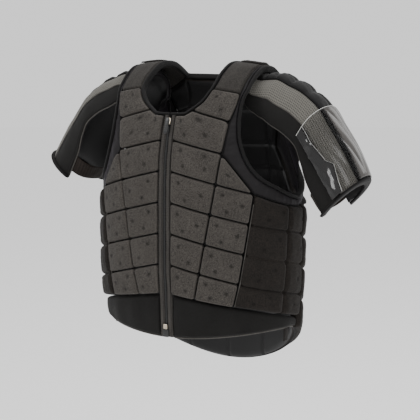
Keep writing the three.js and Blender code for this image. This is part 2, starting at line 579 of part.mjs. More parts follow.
// Hem
function hemLine(length) {
  const side = STRAP_TOP - SIDE_HEM_DROP;
  const degrees = girthDegrees(length);
  if (degrees < 90) return lerp(STRAP_TOP - FRONT_HEM_DROP, side, smoothstep(degrees, 0, SIDE_SEAM));
  const back = Math.max(0, -Math.cos(degToRad(degrees))) ** BACK_HEM_CURVE;
  return lerp(side, STRAP_TOP - BODY_HEIGHT, back);
}
const sideEnd = girthLength(SIDE_PANEL_END);
const YOKE_FACETS = 12;
const yokeDepths = (u, v) => [YOKE_DEPTH + (v === 0 ? YOKE_EDGE.sink : 0), wall];
const yokeSpot = (u, v) => {
  const length = lerp(zipEdge + SEAM_GAP, sideEnd, u);
  return [length, lerp(hemLine(length), rowLine(0, length) - GROOVE / 2, v)];
};
addPair('hem_yoke', patch(yokeSpot, yokeDepths, range(YOKE_FACETS), [0, YOKE_EDGE.share, 1]), COLOURS.yoke);

// Side and back panels, which are one quilted piece each with grooves in its outer face
const sideLoopEnd = ARMPIT + 2;
function blocksHeight(length) {
  let i = SIDE_CORNER;
  while (i < sideLoopEnd && blocksLoop(i + 1)[0] < length) i += 1;
  const [a, b] = [blocksLoop(i), blocksLoop(i + 1)];
  return lerp(a[1], b[1], (length - a[0]) / (b[0] - a[0]));
}
// Levels of a panel that has whole numbers for its grooves
function grooveLevels(count, share) {
  const levels = [0];
  for (let i = 0; i < count; i += 1) levels.push(i + share, i + 1 - share, i + 1);
  return levels;
}
const isGroove = (value) => Math.abs(value - Math.round(value)) < 0.001;
const SIDE_ROWS = SEAM_OUTER.rows;
const levelShare = PANEL_GROOVE_ROUNDING / ROW_PITCH;
const sideSpot = (u, v) => {
  const start = girthLength(lerp(SEAM_OUTER.low, SEAM_OUTER.high, v / SIDE_ROWS)) + GROOVE / 2;
  const length = lerp(start, sideEnd, u);
  const low = rowLine(Math.min(v, SIDE_ROWS - 1), length) + (v === 0 ? GROOVE / 2 : 0);
  const high = blocksHeight(length) - RING_CLEARANCE;
  return [length, lerp(low, high, Math.max(0, v - SIDE_ROWS + 1))];
};
const sideMiddle = girthLength(midway(SEAM_OUTER.low, SEAM_OUTER.high));
const seamShare = (girthLength(SIDE_SEAM) - sideMiddle) / (sideEnd - sideMiddle);
const SEAM_ROUNDING = 0.05; // share of the panel's width on each side of a seam
const sideSeam = [seamShare - SEAM_ROUNDING, seamShare, seamShare + SEAM_ROUNDING];
const sideColumns = [0, SEAM_ROUNDING, 0.3, ...sideSeam, 0.8, 1 - SEAM_ROUNDING, 1];
const sideDepths = (u, v) => {
  const groove = isGroove(v) || u === 0 || u === 1 || u === seamShare;
  return [groove ? PANEL_GROOVE_DEPTH : 0, wall];
};
const sideLevels = grooveLevels(SIDE_ROWS, levelShare);
addPair('side_panel', patch(sideSpot, sideDepths, sideColumns, sideLevels), COLOURS.side);

const backStart = sideEnd + SEAM_GAP;
const strapOuterBack = ARMHOLE_TURN - STRAP_END;
const armpitSpan = ARMHOLE[ARMPIT].blocks - ARMHOLE[ARMPIT - 1].blocks;
const backLoopStart = ARMPIT + (SIDE_PANEL_END - ARMHOLE[ARMPIT].blocks) / armpitSpan;
const backHalf = BACK_ROWS / 2;
// Places round the armhole that the upper rows of the back start from
const backStations = [
  backLoopStart,
  ARMHOLE_TURN - midway(NOTCH, SIDE_CORNER),
  ARMHOLE_TURN - NOTCH,
  ARMHOLE_TURN - CHEST_CORNER,
  strapOuterBack,
];
const NAPE_FACETS = 6;
const SPINE_GAP = 0.02; // share of a row that keeps the neck's line off the spine, where it is reflected
const neckLast = NAPE_START + NAPE_ROWS - SPINE_GAP;
const napeSeam = range(NAPE_FACETS).map((t) => neckSeam(lerp(NAPE_START, neckLast, t)));
function backTop(length) {
  const line = [blocksLoop(strapOuterBack), ...napeSeam];
  const folded = length > HALF_GIRTH ? 2 * HALF_GIRTH - length : length;
  let i = 0;
  while (i < line.length - 2 && line[i + 1][0] < folded) i += 1;
  const [a, b] = [line[i], line[i + 1]];
  return lerp(a[1], b[1], Math.min(1, (folded - a[0]) / (b[0] - a[0])));
}
function backSide(v) {
  const armpit = blocksHeight(backStart) - RING_CLEARANCE;
  if (v <= backHalf) return [backStart, lerp(hemLine(backStart), armpit, v / backHalf)];
  const i = Math.min(Math.floor(v - backHalf), backStations.length - 2);
  const spot = blocksLoop(lerp(backStations[i], backStations[i + 1], v - backHalf - i));
  return [spot[0] + RING_CLEARANCE, spot[1] - RING_CLEARANCE / 2];
}
const backSeamLength = girthLength(BACK_SEAM);
const backSpot = (u, v) => {
  const [length, z] = backSide(v);
  const side = Math.min(u, BACK_COLUMNS - u);
  const near = side < 1 ? lerp(length, backSeamLength, side) : lerp(backSeamLength, HALF_GIRTH, side - 1);
  const at = u <= BACK_COLUMNS / 2 ? near : 2 * HALF_GIRTH - near;
  const drop = hemLine(at) - hemLine(backStart);
  const rise = backTop(at) - RING_CLEARANCE - backSide(BACK_ROWS)[1];
  const low = (1 - v / BACK_ROWS) ** 2;
  const high = (v / BACK_ROWS) ** 4;
  return [at, z + drop * low + Math.max(rise, -1) * high];
};
// Under the arm the panel's levels lie at the armhole's own corners
const loopLevel = (step) => backHalf + (ARMPIT + step - backLoopStart) / (backStations[1] - backLoopStart);
const loopLevels = [1, 2, 3].map(loopLevel);
const replacedLevel = (v) => Math.abs(v - backHalf - levelShare) < 0.001;
const backLevels = grooveLevels(BACK_ROWS, levelShare).filter((v) => !replacedLevel(v));
const backRows = [...backLevels, ...loopLevels].sort((a, b) => a - b);
const backDepths = (u, v) => [isGroove(v) || isGroove(u) ? PANEL_GROOVE_DEPTH : 0, wall];
const BACK_SEAM_ROUNDING = 0.08; // share of a column on each side of a seam
const columnMiddles = Array.from({ length: BACK_COLUMNS }, (_, i) => i + 0.5);
const backSeams = grooveLevels(BACK_COLUMNS, BACK_SEAM_ROUNDING);
const backColumns = [...backSeams, ...columnMiddles].sort((a, b) => a - b);
add('back_panel', patch(backSpot, backDepths, backColumns, backRows), COLOURS.side);

// Padding and binding round the armholes
const armholeSteps = Array.from({ length: ARMHOLE_TURN * 2 }, (_, i) => i / 2);
const nearStrap = (at) => Math.min(at, ARMHOLE_TURN - at) < 4;
const ringSteps = armholeSteps.filter((at) => Number.isInteger(at) || nearStrap(at));
const RING_START = 0.03; // share of the way from the blocks' line to the binding
const ringSpot = (at, v) => {
  const outer = blocksLoop(at);
  const inner = sideways(edgeLoop, at, -(ARMHOLE_BINDING_WIDTH + SEAM_GAP));
  return between(outer, inner, lerp(RING_START, 1, v));
};
const ringDepths = () => [RING_DEPTH, RING_DEPTH + RING_THICKNESS];
addPair('armhole_pad', patch(ringSpot, ringDepths, ringSteps, [0, 1], true), COLOURS.plain);
const bindingDepths = () => [BINDING_PROUD, RING_DEPTH + RING_THICKNESS + BINDING_WRAP];
const bindingSpot = (at, v) => (v === 1 ? edgeLoop(at) : sideways(edgeLoop, at, -ARMHOLE_BINDING_WIDTH));
addPair('armhole_binding', patch(bindingSpot, bindingDepths, ringSteps, [0, 1], true), COLOURS.binding);

// Neck binding, in one strip from the zip over both shoulders and back to the zip
const NECK_STEPS = 25;
const neckFace = (depth) => {
  const left = range(NECK_STEPS).map((t) => {
    const at = lerp(ZIP_CORNER, neckLast, t);
    return [sideways(neckPlace, at, -NECK_BINDING_WIDTH), neckPlace(at)].map((spot) => below(spot, depth));
  });
  const flip = (point) => new THREE.Vector3(-point.x, point.y, point.z);
  const right = left.slice(0, -1).reverse().map((points) => points.map(flip));
  return [...left, ...right];
};
add('neck_binding', slab(neckFace(BINDING_PROUD), neckFace(STRAP_DEPTH + STRAP_THICKNESS)), COLOURS.binding);

// Short webbing tabs under the hem at the sides
const tabSpot = (u, v) => {
  const length = girthLength(TAB.girth) + (u - 0.5) * TAB.width;
  return [length, hemLine(length) - SEAM_GAP - (1 - v) * TAB.length];
};
const tabDepths = () => [TAB.depth, TAB.depth + TAB.thickness];
addPair('hem_tab', patch(tabSpot, tabDepths, range(2), range(2)), COLOURS.plain);

// Shoulder protectors
const sleeveRows = SLEEVE_SECTIONS.map((_, i) => i);
const sleeveEnd = sleeveRows.length - 1;
const pocketStart = sleeveEnd - POCKET_SECTIONS;
const ridgeX = curveThrough(sleeveRows, column(SLEEVE_SECTIONS, 'x'));
const ridgeZ = curveThrough(sleeveRows, column(SLEEVE_SECTIONS, 'z'));
const wideAt = curveThrough(sleeveRows, column(SLEEVE_SECTIONS, 'wide'));
const highAt = curveThrough(sleeveRows, column(SLEEVE_SECTIONS, 'high'));
const leanAt = curveThrough(sleeveRows, column(SLEEVE_SECTIONS, 'lean'));
const frontEdge = curveThrough(sleeveRows, column(SLEEVE_SECTIONS, 'front'));
const SLEEVE_FRONT = SLEEVE_SECTIONS[0].front;
// Angles beyond the mesh are stretched so that the last one follows the front edge
const stretched = (degrees, at) => degrees + Math.max(0, degrees - MESH_FRONT)
  * (frontEdge(at) - SLEEVE_FRONT) / (SLEEVE_FRONT - MESH_FRONT);
const spread = (from, to, count) => range(count).map((t) => lerp(from, to, t));
const padAngles = spread(PAD_BACK, MESH_BACK, PAD_FACETS);
const meshAngles = spread(MESH_BACK, MESH_FRONT, MESH_FACETS);
const bandAngles = spread(MESH_FRONT, SLEEVE_FRONT, BAND_FACETS);
const shellAngles = [SLEEVE_BACK, ...padAngles, ...meshAngles.slice(1), ...bandAngles.slice(1)];
const shellTop = PAD_THICKNESS + LAYER_GAP;
const shellBottom = shellTop + SLEEVE_SHELL_THICKNESS;
const coverTop = PAD_THICKNESS - SLEEVE_COVER_THICKNESS;
const seamed = (angles, first = SLEEVE_SEAM / 2) => [
  angles[0] + first, ...angles.slice(1, -1), angles.at(-1) - SLEEVE_SEAM / 2];
const pocketRound = (degrees) => (degrees - POCKET.back) / (POCKET.front - POCKET.back);

for (const { side, reach, lift, lean, turn } of SLEEVE_SIDES) {
  const ridge = (at) => {
    const z = ridgeZ(at);
    return new THREE.Vector3(ridgeX(at) * reach, 0, z * SLEEVE_DROP + lift * Math.max(0, -z));
  };
  const sleevePoint = (at, degrees, depth, flatness) => {
    const tilt = degToRad(leanAt(at) * lean);
    const up = new THREE.Vector3(Math.sin(tilt), 0, Math.cos(tilt));
    const high = highAt(at) * SLEEVE_RADIUS;
    const wide = wideAt(at) * SLEEVE_RADIUS;
    const angle = degToRad(degrees);
    const point = ridge(at).addScaledVector(up, (high - depth) * Math.cos(angle) * flatness - high);
    point.y -= (wide - depth) * Math.sin(angle);
    return point;
  };
  const addSleeve = (name, colour, depths, angles, rows, edge = stretched, flatness = () => 1) => {
    const face = (layer) => angles.map((round) => rows.map((at) => (
      sleevePoint(at, edge(round, at) + turn, depths(round, at)[layer], flatness(round)))));
    const geometry = slab(face(0), face(1));
    add(`${name}_${side}`, side === 'left' ? geometry : mirrored(geometry), colour);
  };
  const lastLength = ridge(sleeveEnd).distanceTo(ridge(sleeveEnd - 1));
  const hemStart = sleeveEnd - HEM_BINDING_WIDTH / lastLength;
  const steps = [...sleeveRows.slice(0, -1), hemStart];
  addSleeve('sleeve_shell', COLOURS.plain, () => [shellTop, shellBottom], shellAngles, steps);
  addSleeve('sleeve_pad', COLOURS.plain, () => [0, PAD_THICKNESS], seamed(padAngles, 0), steps);
  addSleeve('sleeve_mesh', COLOURS.mesh, () => [coverTop, PAD_THICKNESS], seamed(meshAngles), steps);
  addSleeve('sleeve_band', COLOURS.plain, () => [coverTop, PAD_THICKNESS], seamed(bandAngles), steps);
  const hemSteps = [hemStart + SEAM_GAP / lastLength, sleeveEnd];
  const hemDepths = () => [-BINDING_WRAP, shellBottom + BINDING_WRAP];
  addSleeve('sleeve_hem', COLOURS.binding, hemDepths, shellAngles, hemSteps);

  // The strap under the arm joins the front edge of the shell to its back edge
  const strapEdges = [ARM_STRAP.hemGap + ARM_STRAP.width, ARM_STRAP.hemGap];
  const armStrapRows = strapEdges.map((up) => hemStart - up / lastLength);
  const strapBack = 2 * HALF_TURN + SLEEVE_BACK - SLEEVE_SEAM;
  const strapRound = (share, at) => lerp(frontEdge(at) + SLEEVE_SEAM, strapBack, share);
  const strapFlatness = (share) => 1 - (1 - ARM_STRAP.flatness) * Math.sin(Math.PI * share);
  const strapFace = shellTop + ARM_STRAP.sink;
  addSleeve('arm_strap', COLOURS.strap, () => [strapFace, strapFace + ARM_STRAP.thickness],
    range(ARM_STRAP_FACETS), armStrapRows, strapRound, strapFlatness);

  // Clear pocket over the left shoulder protector
  const pocketDepths = (degrees, at) => {
    const down = (at - pocketStart) / (hemStart - pocketStart);
    const puff = Math.sin(Math.PI * pocketRound(degrees)) * Math.sin(Math.PI * down);
    const clear = LAYER_GAP + POCKET.bulge * Math.max(0, puff) ** POCKET.roundness;
    return [-clear - POCKET.thickness, -clear];
  };
  if (side === 'left') {
    const pocketRows = [...sleeveRows.slice(pocketStart, -1), hemStart];
    const pocketAngles = spread(POCKET.back, POCKET.front, POCKET_FACETS);
    addSleeve('clear_pocket', COLOURS.clear, pocketDepths, pocketAngles, pocketRows);
  }
}

export default group;
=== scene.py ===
import math

import bpy
import numpy as np
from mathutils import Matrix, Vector


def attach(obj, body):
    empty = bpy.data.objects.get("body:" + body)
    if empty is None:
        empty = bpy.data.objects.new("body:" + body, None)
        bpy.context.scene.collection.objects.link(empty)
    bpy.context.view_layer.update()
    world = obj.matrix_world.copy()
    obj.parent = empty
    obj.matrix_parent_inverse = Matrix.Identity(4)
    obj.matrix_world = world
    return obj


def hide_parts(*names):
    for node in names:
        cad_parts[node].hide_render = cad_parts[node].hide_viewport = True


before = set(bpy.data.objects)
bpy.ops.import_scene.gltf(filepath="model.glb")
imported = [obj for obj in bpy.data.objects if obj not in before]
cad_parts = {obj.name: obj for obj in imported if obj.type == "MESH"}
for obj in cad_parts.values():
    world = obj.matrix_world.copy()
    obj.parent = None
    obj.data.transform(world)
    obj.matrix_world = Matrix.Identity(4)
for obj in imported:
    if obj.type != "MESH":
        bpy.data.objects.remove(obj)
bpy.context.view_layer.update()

# Segmented body protector vest with a pair of shoulder protectors, dressed in fabric.
# Shapes are worked out in millimetres in the part's own frame and put into the scene in metres.
MM = 0.001

# Vest body, as the solids have it
BODY_HEIGHT = 576
STRAP_TOP = 24
HALF_WIDTH = 201
FRONT_DEPTH = 140
BACK_DEPTH = 135
BLOCK_THICKNESS = 15.4
LINING_GAP = 0.95
LINING_THICKNESS = 5
STRAP_DEPTH = 3.4
STRAP_THICKNESS = 10.6
LAYER_GAP = 0.6
SEAM_GAP = 0.5
NECK_INNER_X = 70
NECK_DROP = 91
NAPE_DROP = 26
STRAP_SEAM_X = 129
STRAP_OUTER_X = 140
ARMHOLE_DEPTH = 230
FRONT_HEM_DROP = 494
SIDE_HEM_DROP = 477
ROW_PITCH = 55.4
LOWEST_ROW_DROP = 413.5
ROW_SLANT = 0.24
SIDE_SLANT = 0.19
LOWEST_ROW_SLANT = 0.15
GROOVE = 3.4
BACK_ROWS = 8
BACK_COLUMNS = 4
ZIP_COIL_WIDTH = 5
ZIP_FLAP_WIDTH = 9.5
ZIP_DEPTH = 5
ARMHOLE_BINDING_WIDTH = 6
NECK_BINDING_WIDTH = 5
BINDING_PROUD = 2.5
RING_DEPTH = 6
RING_THICKNESS = 8
YOKE_DEPTH = 8
TAB = {"width": 16, "length": 26, "thickness": 2.4, "depth": 12, "girth": 84}

# Cross sections of the outer surface, as shares of the sizes above
BODY_SECTIONS = [
    dict(drop=0.000, width=0.296, front=0.086, back=0.089, fullness=2.40),
    dict(drop=0.003, width=0.473, front=0.157, back=0.170, fullness=2.50),
    dict(drop=0.007, width=0.591, front=0.221, back=0.244, fullness=2.60),
    dict(drop=0.014, width=0.670, front=0.293, back=0.326, fullness=2.70),
    dict(drop=0.024, width=0.724, front=0.371, back=0.415, fullness=2.80),
    dict(drop=0.042, width=0.773, front=0.493, back=0.556, fullness=2.80),
    dict(drop=0.063, width=0.808, front=0.600, back=0.667, fullness=2.80),
    dict(drop=0.094, width=0.842, front=0.721, back=0.778, fullness=2.80),
    dict(drop=0.129, width=0.887, front=0.779, back=0.844, fullness=2.70),
    dict(drop=0.181, width=0.936, front=0.857, back=0.911, fullness=2.50),
    dict(drop=0.251, width=0.970, front=0.936, back=0.963, fullness=2.35),
    dict(drop=0.338, width=0.990, front=0.986, back=0.993, fullness=2.20),
    dict(drop=0.477, width=1.000, front=1.000, back=0.970, fullness=2.15),
    dict(drop=0.617, width=1.000, front=1.000, back=0.933, fullness=2.15),
    dict(drop=0.739, width=0.985, front=0.971, back=0.919, fullness=2.15),
    dict(drop=0.843, width=0.970, front=0.950, back=0.925, fullness=2.15),
    dict(drop=1.000, width=0.940, front=0.929, back=0.925, fullness=2.15),
]
ARMHOLE = [
    dict(edge=90.0, edge_drop=0.000, blocks=90.0, blocks_drop=-0.017),
    dict(edge=60.0, edge_drop=0.045, blocks=57.0, blocks_drop=0.020),
    dict(edge=48.0, edge_drop=0.170, blocks=41.9, blocks_drop=0.200),
    dict(edge=42.5, edge_drop=0.300, blocks=38.3, blocks_drop=0.307),
    dict(edge=41.2, edge_drop=0.422, blocks=34.8, blocks_drop=0.413),
    dict(edge=41.6, edge_drop=0.522, blocks=33.1, blocks_drop=0.535),
    dict(edge=44.2, edge_drop=0.643, blocks=31.4, blocks_drop=0.657),
    dict(edge=49.8, edge_drop=0.770, blocks=40.8, blocks_drop=0.811),
    dict(edge=57.3, edge_drop=0.852, blocks=50.2, blocks_drop=0.965),
    dict(edge=67.0, edge_drop=0.908, blocks=63.0, blocks_drop=1.022),
    dict(edge=78.2, edge_drop=0.963, blocks=76.0, blocks_drop=1.060),
    dict(edge=90.0, edge_drop=1.000, blocks=90.0, blocks_drop=1.080),
]
STRAP_END = 2
CHEST_CORNER = 4
NOTCH = 6
SIDE_CORNER = 8
ARMPIT = len(ARMHOLE) - 1
ARMHOLE_TURN = 2 * ARMPIT
NECK = [
    dict(girth=0.0, drop=1.000),
    dict(girth=8.5, drop=0.990),
    dict(girth=12.0, drop=0.920),
    dict(girth=19.0, drop=0.735),
    dict(girth=23.2, drop=0.516),
]
CHEST_NECK = 2.1
NECK_STRAP_GIRTH = 25
SEAM_INNER = dict(high=31.4, low=16.7, rows=5)
SEAM_OUTER = dict(high=50.2, low=38.4, rows=4)
SIDE_SEAM = 75
SIDE_PANEL_END = 97
BACK_SEAM = 154
BACK_HEM_CURVE = 1.5

SLEEVE_RADIUS = 60
SLEEVE_DROP = 181
SLEEVE_SIDES = [
    dict(side="left", sign=1, reach=331, lift=0, lean=1.0, turn=0),
    dict(side="right", sign=-1, reach=327, lift=23, lean=1.16, turn=-20),
]
SLEEVE_SECTIONS = [
    dict(x=0.293, z=0.040, wide=0.86, high=0.70, lean=0, front=97),
    dict(x=0.338, z=0.022, wide=0.90, high=0.75, lean=3, front=97),
    dict(x=0.375, z=-0.008, wide=0.93, high=0.84, lean=7, front=97),
    dict(x=0.402, z=-0.016, wide=0.95, high=0.92, lean=8, front=97),
    dict(x=0.440, z=-0.008, wide=0.97, high=1.03, lean=9, front=97),
    dict(x=0.498, z=0.000, wide=1.00, high=1.17, lean=12, front=97),
    dict(x=0.574, z=-0.055, wide=1.03, high=1.22, lean=16, front=97),
    dict(x=0.650, z=-0.116, wide=1.04, high=1.24, lean=20, front=97),
    dict(x=0.761, z=-0.282, wide=1.03, high=1.20, lean=28, front=97),
    dict(x=0.825, z=-0.453, wide=1.02, high=1.17, lean=35, front=101),
    dict(x=0.903, z=-0.674, wide=1.00, high=1.12, lean=42, front=114),
    dict(x=1.000, z=-1.000, wide=0.96, high=1.02, lean=45.6, front=124),
]
SLEEVE_BACK = -104
PAD_BACK = -95
MESH_BACK = 24
MESH_FRONT = 66
SLEEVE_SEAM = 0.8
PAD_THICKNESS = 7.4
SHELL_THICKNESS = 7
COVER_THICKNESS = 2.4
HEM_BINDING_WIDTH = 6
ARM_STRAP = dict(width=34, thickness=2.6, hem_gap=10, flatness=0.74)
POCKET = dict(start=8, front=82, back=-60, bulge=6)


def curve_through(rows, key, places=None):
    """A smooth curve through one column of a table that never overshoots it"""
    x = np.arange(len(rows), dtype=float) if places is None else np.array(places, float)
    y = np.array([row[key] for row in rows], float)
    slope = np.diff(y) / np.diff(x)
    product = slope[:-1] * slope[1:]
    total = np.where(product > 0, slope[:-1] + slope[1:], 1)
    tangent = np.concatenate([slope[:1], np.where(product > 0, 2 * product / total, 0), slope[-1:]])

    def at(value):
        value = np.asarray(value, float)
        i = np.clip(np.searchsorted(x, value, side="right") - 1, 0, len(x) - 2)
        span = x[i + 1] - x[i]
        t = np.clip((value - x[i]) / span, 0, 1)
        lean = t * (1 - t) * span * ((1 - t) * tangent[i] - t * tangent[i + 1])
        blend = t * t * (3 - 2 * t)
        return y[i] * (1 - blend) + y[i + 1] * blend + lean

    return at


def lerp(a, b, t):
    return a + (b - a) * t


def smooth(t):
    t = np.clip(t, 0, 1)
    return t * t * (3 - 2 * t)


SECTION_DROPS = [row["drop"] for row in BODY_SECTIONS]
width_at = curve_through(BODY_SECTIONS, "width", SECTION_DROPS)
front_at = curve_through(BODY_SECTIONS, "front", SECTION_DROPS)
back_at = curve_through(BODY_SECTIONS, "back", SECTION_DROPS)
fullness_at = curve_through(BODY_SECTIONS, "fullness", SECTION_DROPS)

# Girth round the chest from the zip, over the wearer's left side to the spine and beyond
_middle = np.radians(np.arange(180) + 0.5)
_depth = np.where(_middle < math.pi / 2, FRONT_DEPTH, BACK_DEPTH)
_steps = np.hypot(HALF_WIDTH * np.cos(_middle), _depth * np.sin(_middle)) * math.radians(1)
_half = np.concatenate([[0], np.cumsum(_steps)])
HALF_GIRTH = _half[-1]
GIRTH_DEGREES = np.arange(-180, 361)
GIRTH_LENGTHS = np.concatenate([-_half[:0:-1], _half, 2 * HALF_GIRTH - _half[-2::-1]])


def girth_length(degrees):
    return np.interp(degrees, GIRTH_DEGREES, GIRTH_LENGTHS)


def surface(length, z):
    length, z = np.broadcast_arrays(np.asarray(length, float), np.asarray(z, float))
    share = (STRAP_TOP - z) / BODY_HEIGHT
    angle = np.radians(np.interp(length, GIRTH_LENGTHS, GIRTH_DEGREES))
    sine, cosine = np.sin(angle), np.cos(angle)
    power = fullness_at(share)
    reach = (np.abs(sine) ** power + np.abs(cosine) ** power) ** (-1 / power)
    depth = np.where(cosine > 0, front_at(share) * FRONT_DEPTH, back_at(share) * BACK_DEPTH)
    return np.stack([width_at(share) * HALF_WIDTH * reach * sine, -depth * reach * cosine, z], -1)


STEP = 0.05


def tangents(length, z):
    around = (surface(length + STEP, z) - surface(length - STEP, z)) / (2 * STEP)
    rise = (surface(length, z + STEP) - surface(length, z - STEP)) / (2 * STEP)
    normal = np.cross(around, rise)
    normal /= np.linalg.norm(normal, axis=-1, keepdims=True)
    return around, rise, normal


def below(spot, depth):
    """Points a depth below the outer surface at places of girth length and z"""
    length, z = spot[..., 0], spot[..., 1]
    normal = tangents(length, z)[2]
    return surface(length, z) - normal * np.asarray(depth)[..., None]


def place(degrees, z):
    length, z = np.broadcast_arrays(girth_length(degrees), np.asarray(z, float))
    return np.stack([length, z], -1)


def between(a, b, t):
    return a + (b - a) * np.asarray(t)[..., None]


def crossed(us, vs):
    """Two grids that hold every u with every v"""
    return np.meshgrid(us, vs, indexing="ij")


def place_at_x(x, degrees):
    x, degrees = np.broadcast_arrays(np.asarray(x, float), np.asarray(degrees, float))
    length = girth_length(degrees)
    low = np.full(x.shape, STRAP_TOP - BODY_HEIGHT * 0.4)
    high = np.full(x.shape, float(STRAP_TOP))
    for _ in range(40):
        middle = (low + high) / 2
        wide = surface(length, middle)[..., 0] > x
        low = np.where(wide, middle, low)
        high = np.where(wide, high, middle)
    return np.stack([length, low], -1)


def sideways(line, at, distance):
    """A line's place moved square to it along the surface, to its left as seen from outside"""
    start = line(at)
    around, rise, normal = tangents(start[..., 0], start[..., 1])
    ahead, behind = line(at + STEP), line(at - STEP)
    along = surface(ahead[..., 0], ahead[..., 1]) - surface(behind[..., 0], behind[..., 1])
    wanted = np.cross(normal, along)
    wanted *= distance / np.linalg.norm(wanted, axis=-1, keepdims=True)
    a = (around * around).sum(-1)
    b = (around * rise).sum(-1)
    c = (rise * rise).sum(-1)
    p = (wanted * around).sum(-1)
    q = (wanted * rise).sum(-1)
    det = a * c - b * b
    return start + np.stack([(p * c - q * b) / det, (q * a - p * b) / det], -1)


# Lines that the pieces share
LINING_TOP = BLOCK_THICKNESS + LINING_GAP
WALL = LINING_TOP + LINING_THICKNESS
ZIP_EDGE = ZIP_COIL_WIDTH / 2 + SEAM_GAP + ZIP_FLAP_WIDTH + SEAM_GAP
STRAP_EDGE_Z = float(place_at_x(STRAP_OUTER_X, 90)[1])
OUTER_HIGH = float(girth_length(SEAM_OUTER["high"]))


def row_line(row, length):
    front = np.minimum(length, OUTER_HIGH)
    slant = lerp(LOWEST_ROW_SLANT, ROW_SLANT, np.clip(row, 0, 1))
    return STRAP_TOP - LOWEST_ROW_DROP + row * ROW_PITCH - slant * front - SIDE_SLANT * (length - front)


def on_row(row, length):
    return np.array([length, float(row_line(row, length))])


def seam_place(seam, row):
    return on_row(row, float(girth_length(lerp(seam["low"], seam["high"], row / seam["rows"]))))


edge_girth = curve_through(ARMHOLE, "edge")
edge_drop = curve_through(ARMHOLE, "edge_drop")
blocks_girth = curve_through(ARMHOLE, "blocks")


def on_armhole(degrees, drop):
    return place(degrees, STRAP_EDGE_Z - drop * ARMHOLE_DEPTH)


def beside_strap(at, x, degrees, end):
    end_x = surface(*on_armhole(*end))[0]
    return place_at_x(lerp(x, end_x, np.clip(at, 0, STRAP_END) / STRAP_END), degrees(at))


def edge_place(at):
    at = np.asarray(at, float)
    row = ARMHOLE[STRAP_END]
    high = beside_strap(at, STRAP_OUTER_X, edge_girth, (row["edge"], row["edge_drop"]))
    return np.where((at < STRAP_END)[..., None], high, on_armhole(edge_girth(at), edge_drop(at)))


def blocks_place(at):
    at = np.asarray(at, float)
    row = ARMHOLE[STRAP_END]
    high = beside_strap(at, STRAP_SEAM_X, blocks_girth, (row["blocks"], row["blocks_drop"]))
    corners = np.array([on_armhole(row["blocks"], row["blocks_drop"]) for row in ARMHOLE])
    i = np.clip(np.floor(at).astype(int), 0, ARMPIT - 1)
    low = between(corners[i], corners[i + 1], at - i)
    return np.where((at < STRAP_END)[..., None], high, low)


def round_armhole(line, at):
    """The front half of a line and its reflection on the back, as one loop"""
    turn = np.mod(np.asarray(at, float), ARMHOLE_TURN)
    front = line(np.minimum(turn, ARMHOLE_TURN - turn))
    back = np.stack([HALF_GIRTH - front[..., 0], front[..., 1]], -1)
    degrees = np.interp(front[..., 0], GIRTH_LENGTHS, GIRTH_DEGREES)
    back[..., 0] = girth_length(180 - degrees)
    return np.where((turn <= ARMPIT)[..., None], front, back)


def edge_loop(at):
    return round_armhole(edge_place, at)


def blocks_loop(at):
    return round_armhole(blocks_place, at)


NECK_END = len(NECK) - 1
SHOULDER_ROWS = 6
NAPE_ROWS = 3
SHOULDER_START = NECK_END + 1
NAPE_START = SHOULDER_START + SHOULDER_ROWS
NECK_STRAP_Z = float(place_at_x(NECK_INNER_X, NECK_STRAP_GIRTH)[1])
_neck = [dict(girth=row["girth"], z=STRAP_TOP - row["drop"] * NECK_DROP) for row in NECK]
_neck.append(dict(girth=NECK_STRAP_GIRTH, z=NECK_STRAP_Z))
neck_girth = curve_through(_neck, "girth")
neck_z = curve_through(_neck, "z")


def neck_place(at):
    at = np.asarray(at, float)
    front = place(neck_girth(at), neck_z(at))
    over = np.clip((at - SHOULDER_START) / SHOULDER_ROWS, 0, 1)
    shoulder = place_at_x(NECK_INNER_X, lerp(NECK_STRAP_GIRTH, 180 - NECK_STRAP_GIRTH, over))
    nape_share = (at - NAPE_START) / NAPE_ROWS
    nape_z = lerp(NECK_STRAP_Z, STRAP_TOP - NAPE_DROP, smooth(nape_share))
    nape = np.stack([lerp(girth_length(180 - NECK_STRAP_GIRTH), HALF_GIRTH, nape_share), nape_z], -1)
    spot = np.where((at > SHOULDER_START)[..., None], shoulder, front)
    return np.where((at > NAPE_START)[..., None], nape, spot)


def neck_seam(at):
    return sideways(neck_place, np.asarray(at, float), -(NECK_BINDING_WIDTH + SEAM_GAP))


def hem_line(length):
    side = STRAP_TOP - SIDE_HEM_DROP
    degrees = np.interp(length, GIRTH_LENGTHS, GIRTH_DEGREES)
    front = lerp(STRAP_TOP - FRONT_HEM_DROP, side, smooth(degrees / SIDE_SEAM))
    back = np.maximum(0, -np.cos(np.radians(degrees))) ** BACK_HEM_CURVE
    return np.where(degrees < 90, front, lerp(side, STRAP_TOP - BODY_HEIGHT, back))


# Materials
# Cloth colours are taken darker by this share, so that they show right under the studio's light
CLOTH_SHADE = 0.7


def linear(colour):
    """A colour given in 0 to 255 as the shader's own values"""
    share = np.array(colour) / 255
    return tuple(np.where(share <= 0.04045, share / 12.92, ((share + 0.055) / 1.055) ** 2.4)) + (1.0,)


def node(tree, kind, inputs=None, **settings):
    made = tree.nodes.new("ShaderNode" + kind)
    for key, value in settings.items():
        setattr(made, key, value)
    for key, value in (inputs or {}).items():
        if isinstance(value, bpy.types.NodeSocket):
            tree.links.new(value, made.inputs[key])
        else:
            made.inputs[key].default_value = value
    return made


def math_node(tree, operation, a, b):
    return node(tree, "Math", {0: a, 1: b}, operation=operation).outputs[0]


def mixed(tree, share, a, b):
    made = node(tree, "Mix", data_type="RGBA")
    for key, value in (("Factor", share), ("A", a), ("B", b)):
        socket = [item for item in made.inputs if item.name == key and item.type in ("VALUE", "RGBA")]
        socket = socket[0] if key == "Factor" else [item for item in socket if item.type == "RGBA"][0]
        if isinstance(value, bpy.types.NodeSocket):
            tree.links.new(value, socket)
        else:
            socket.default_value = value
    return [item for item in made.outputs if item.type == "RGBA"][0]


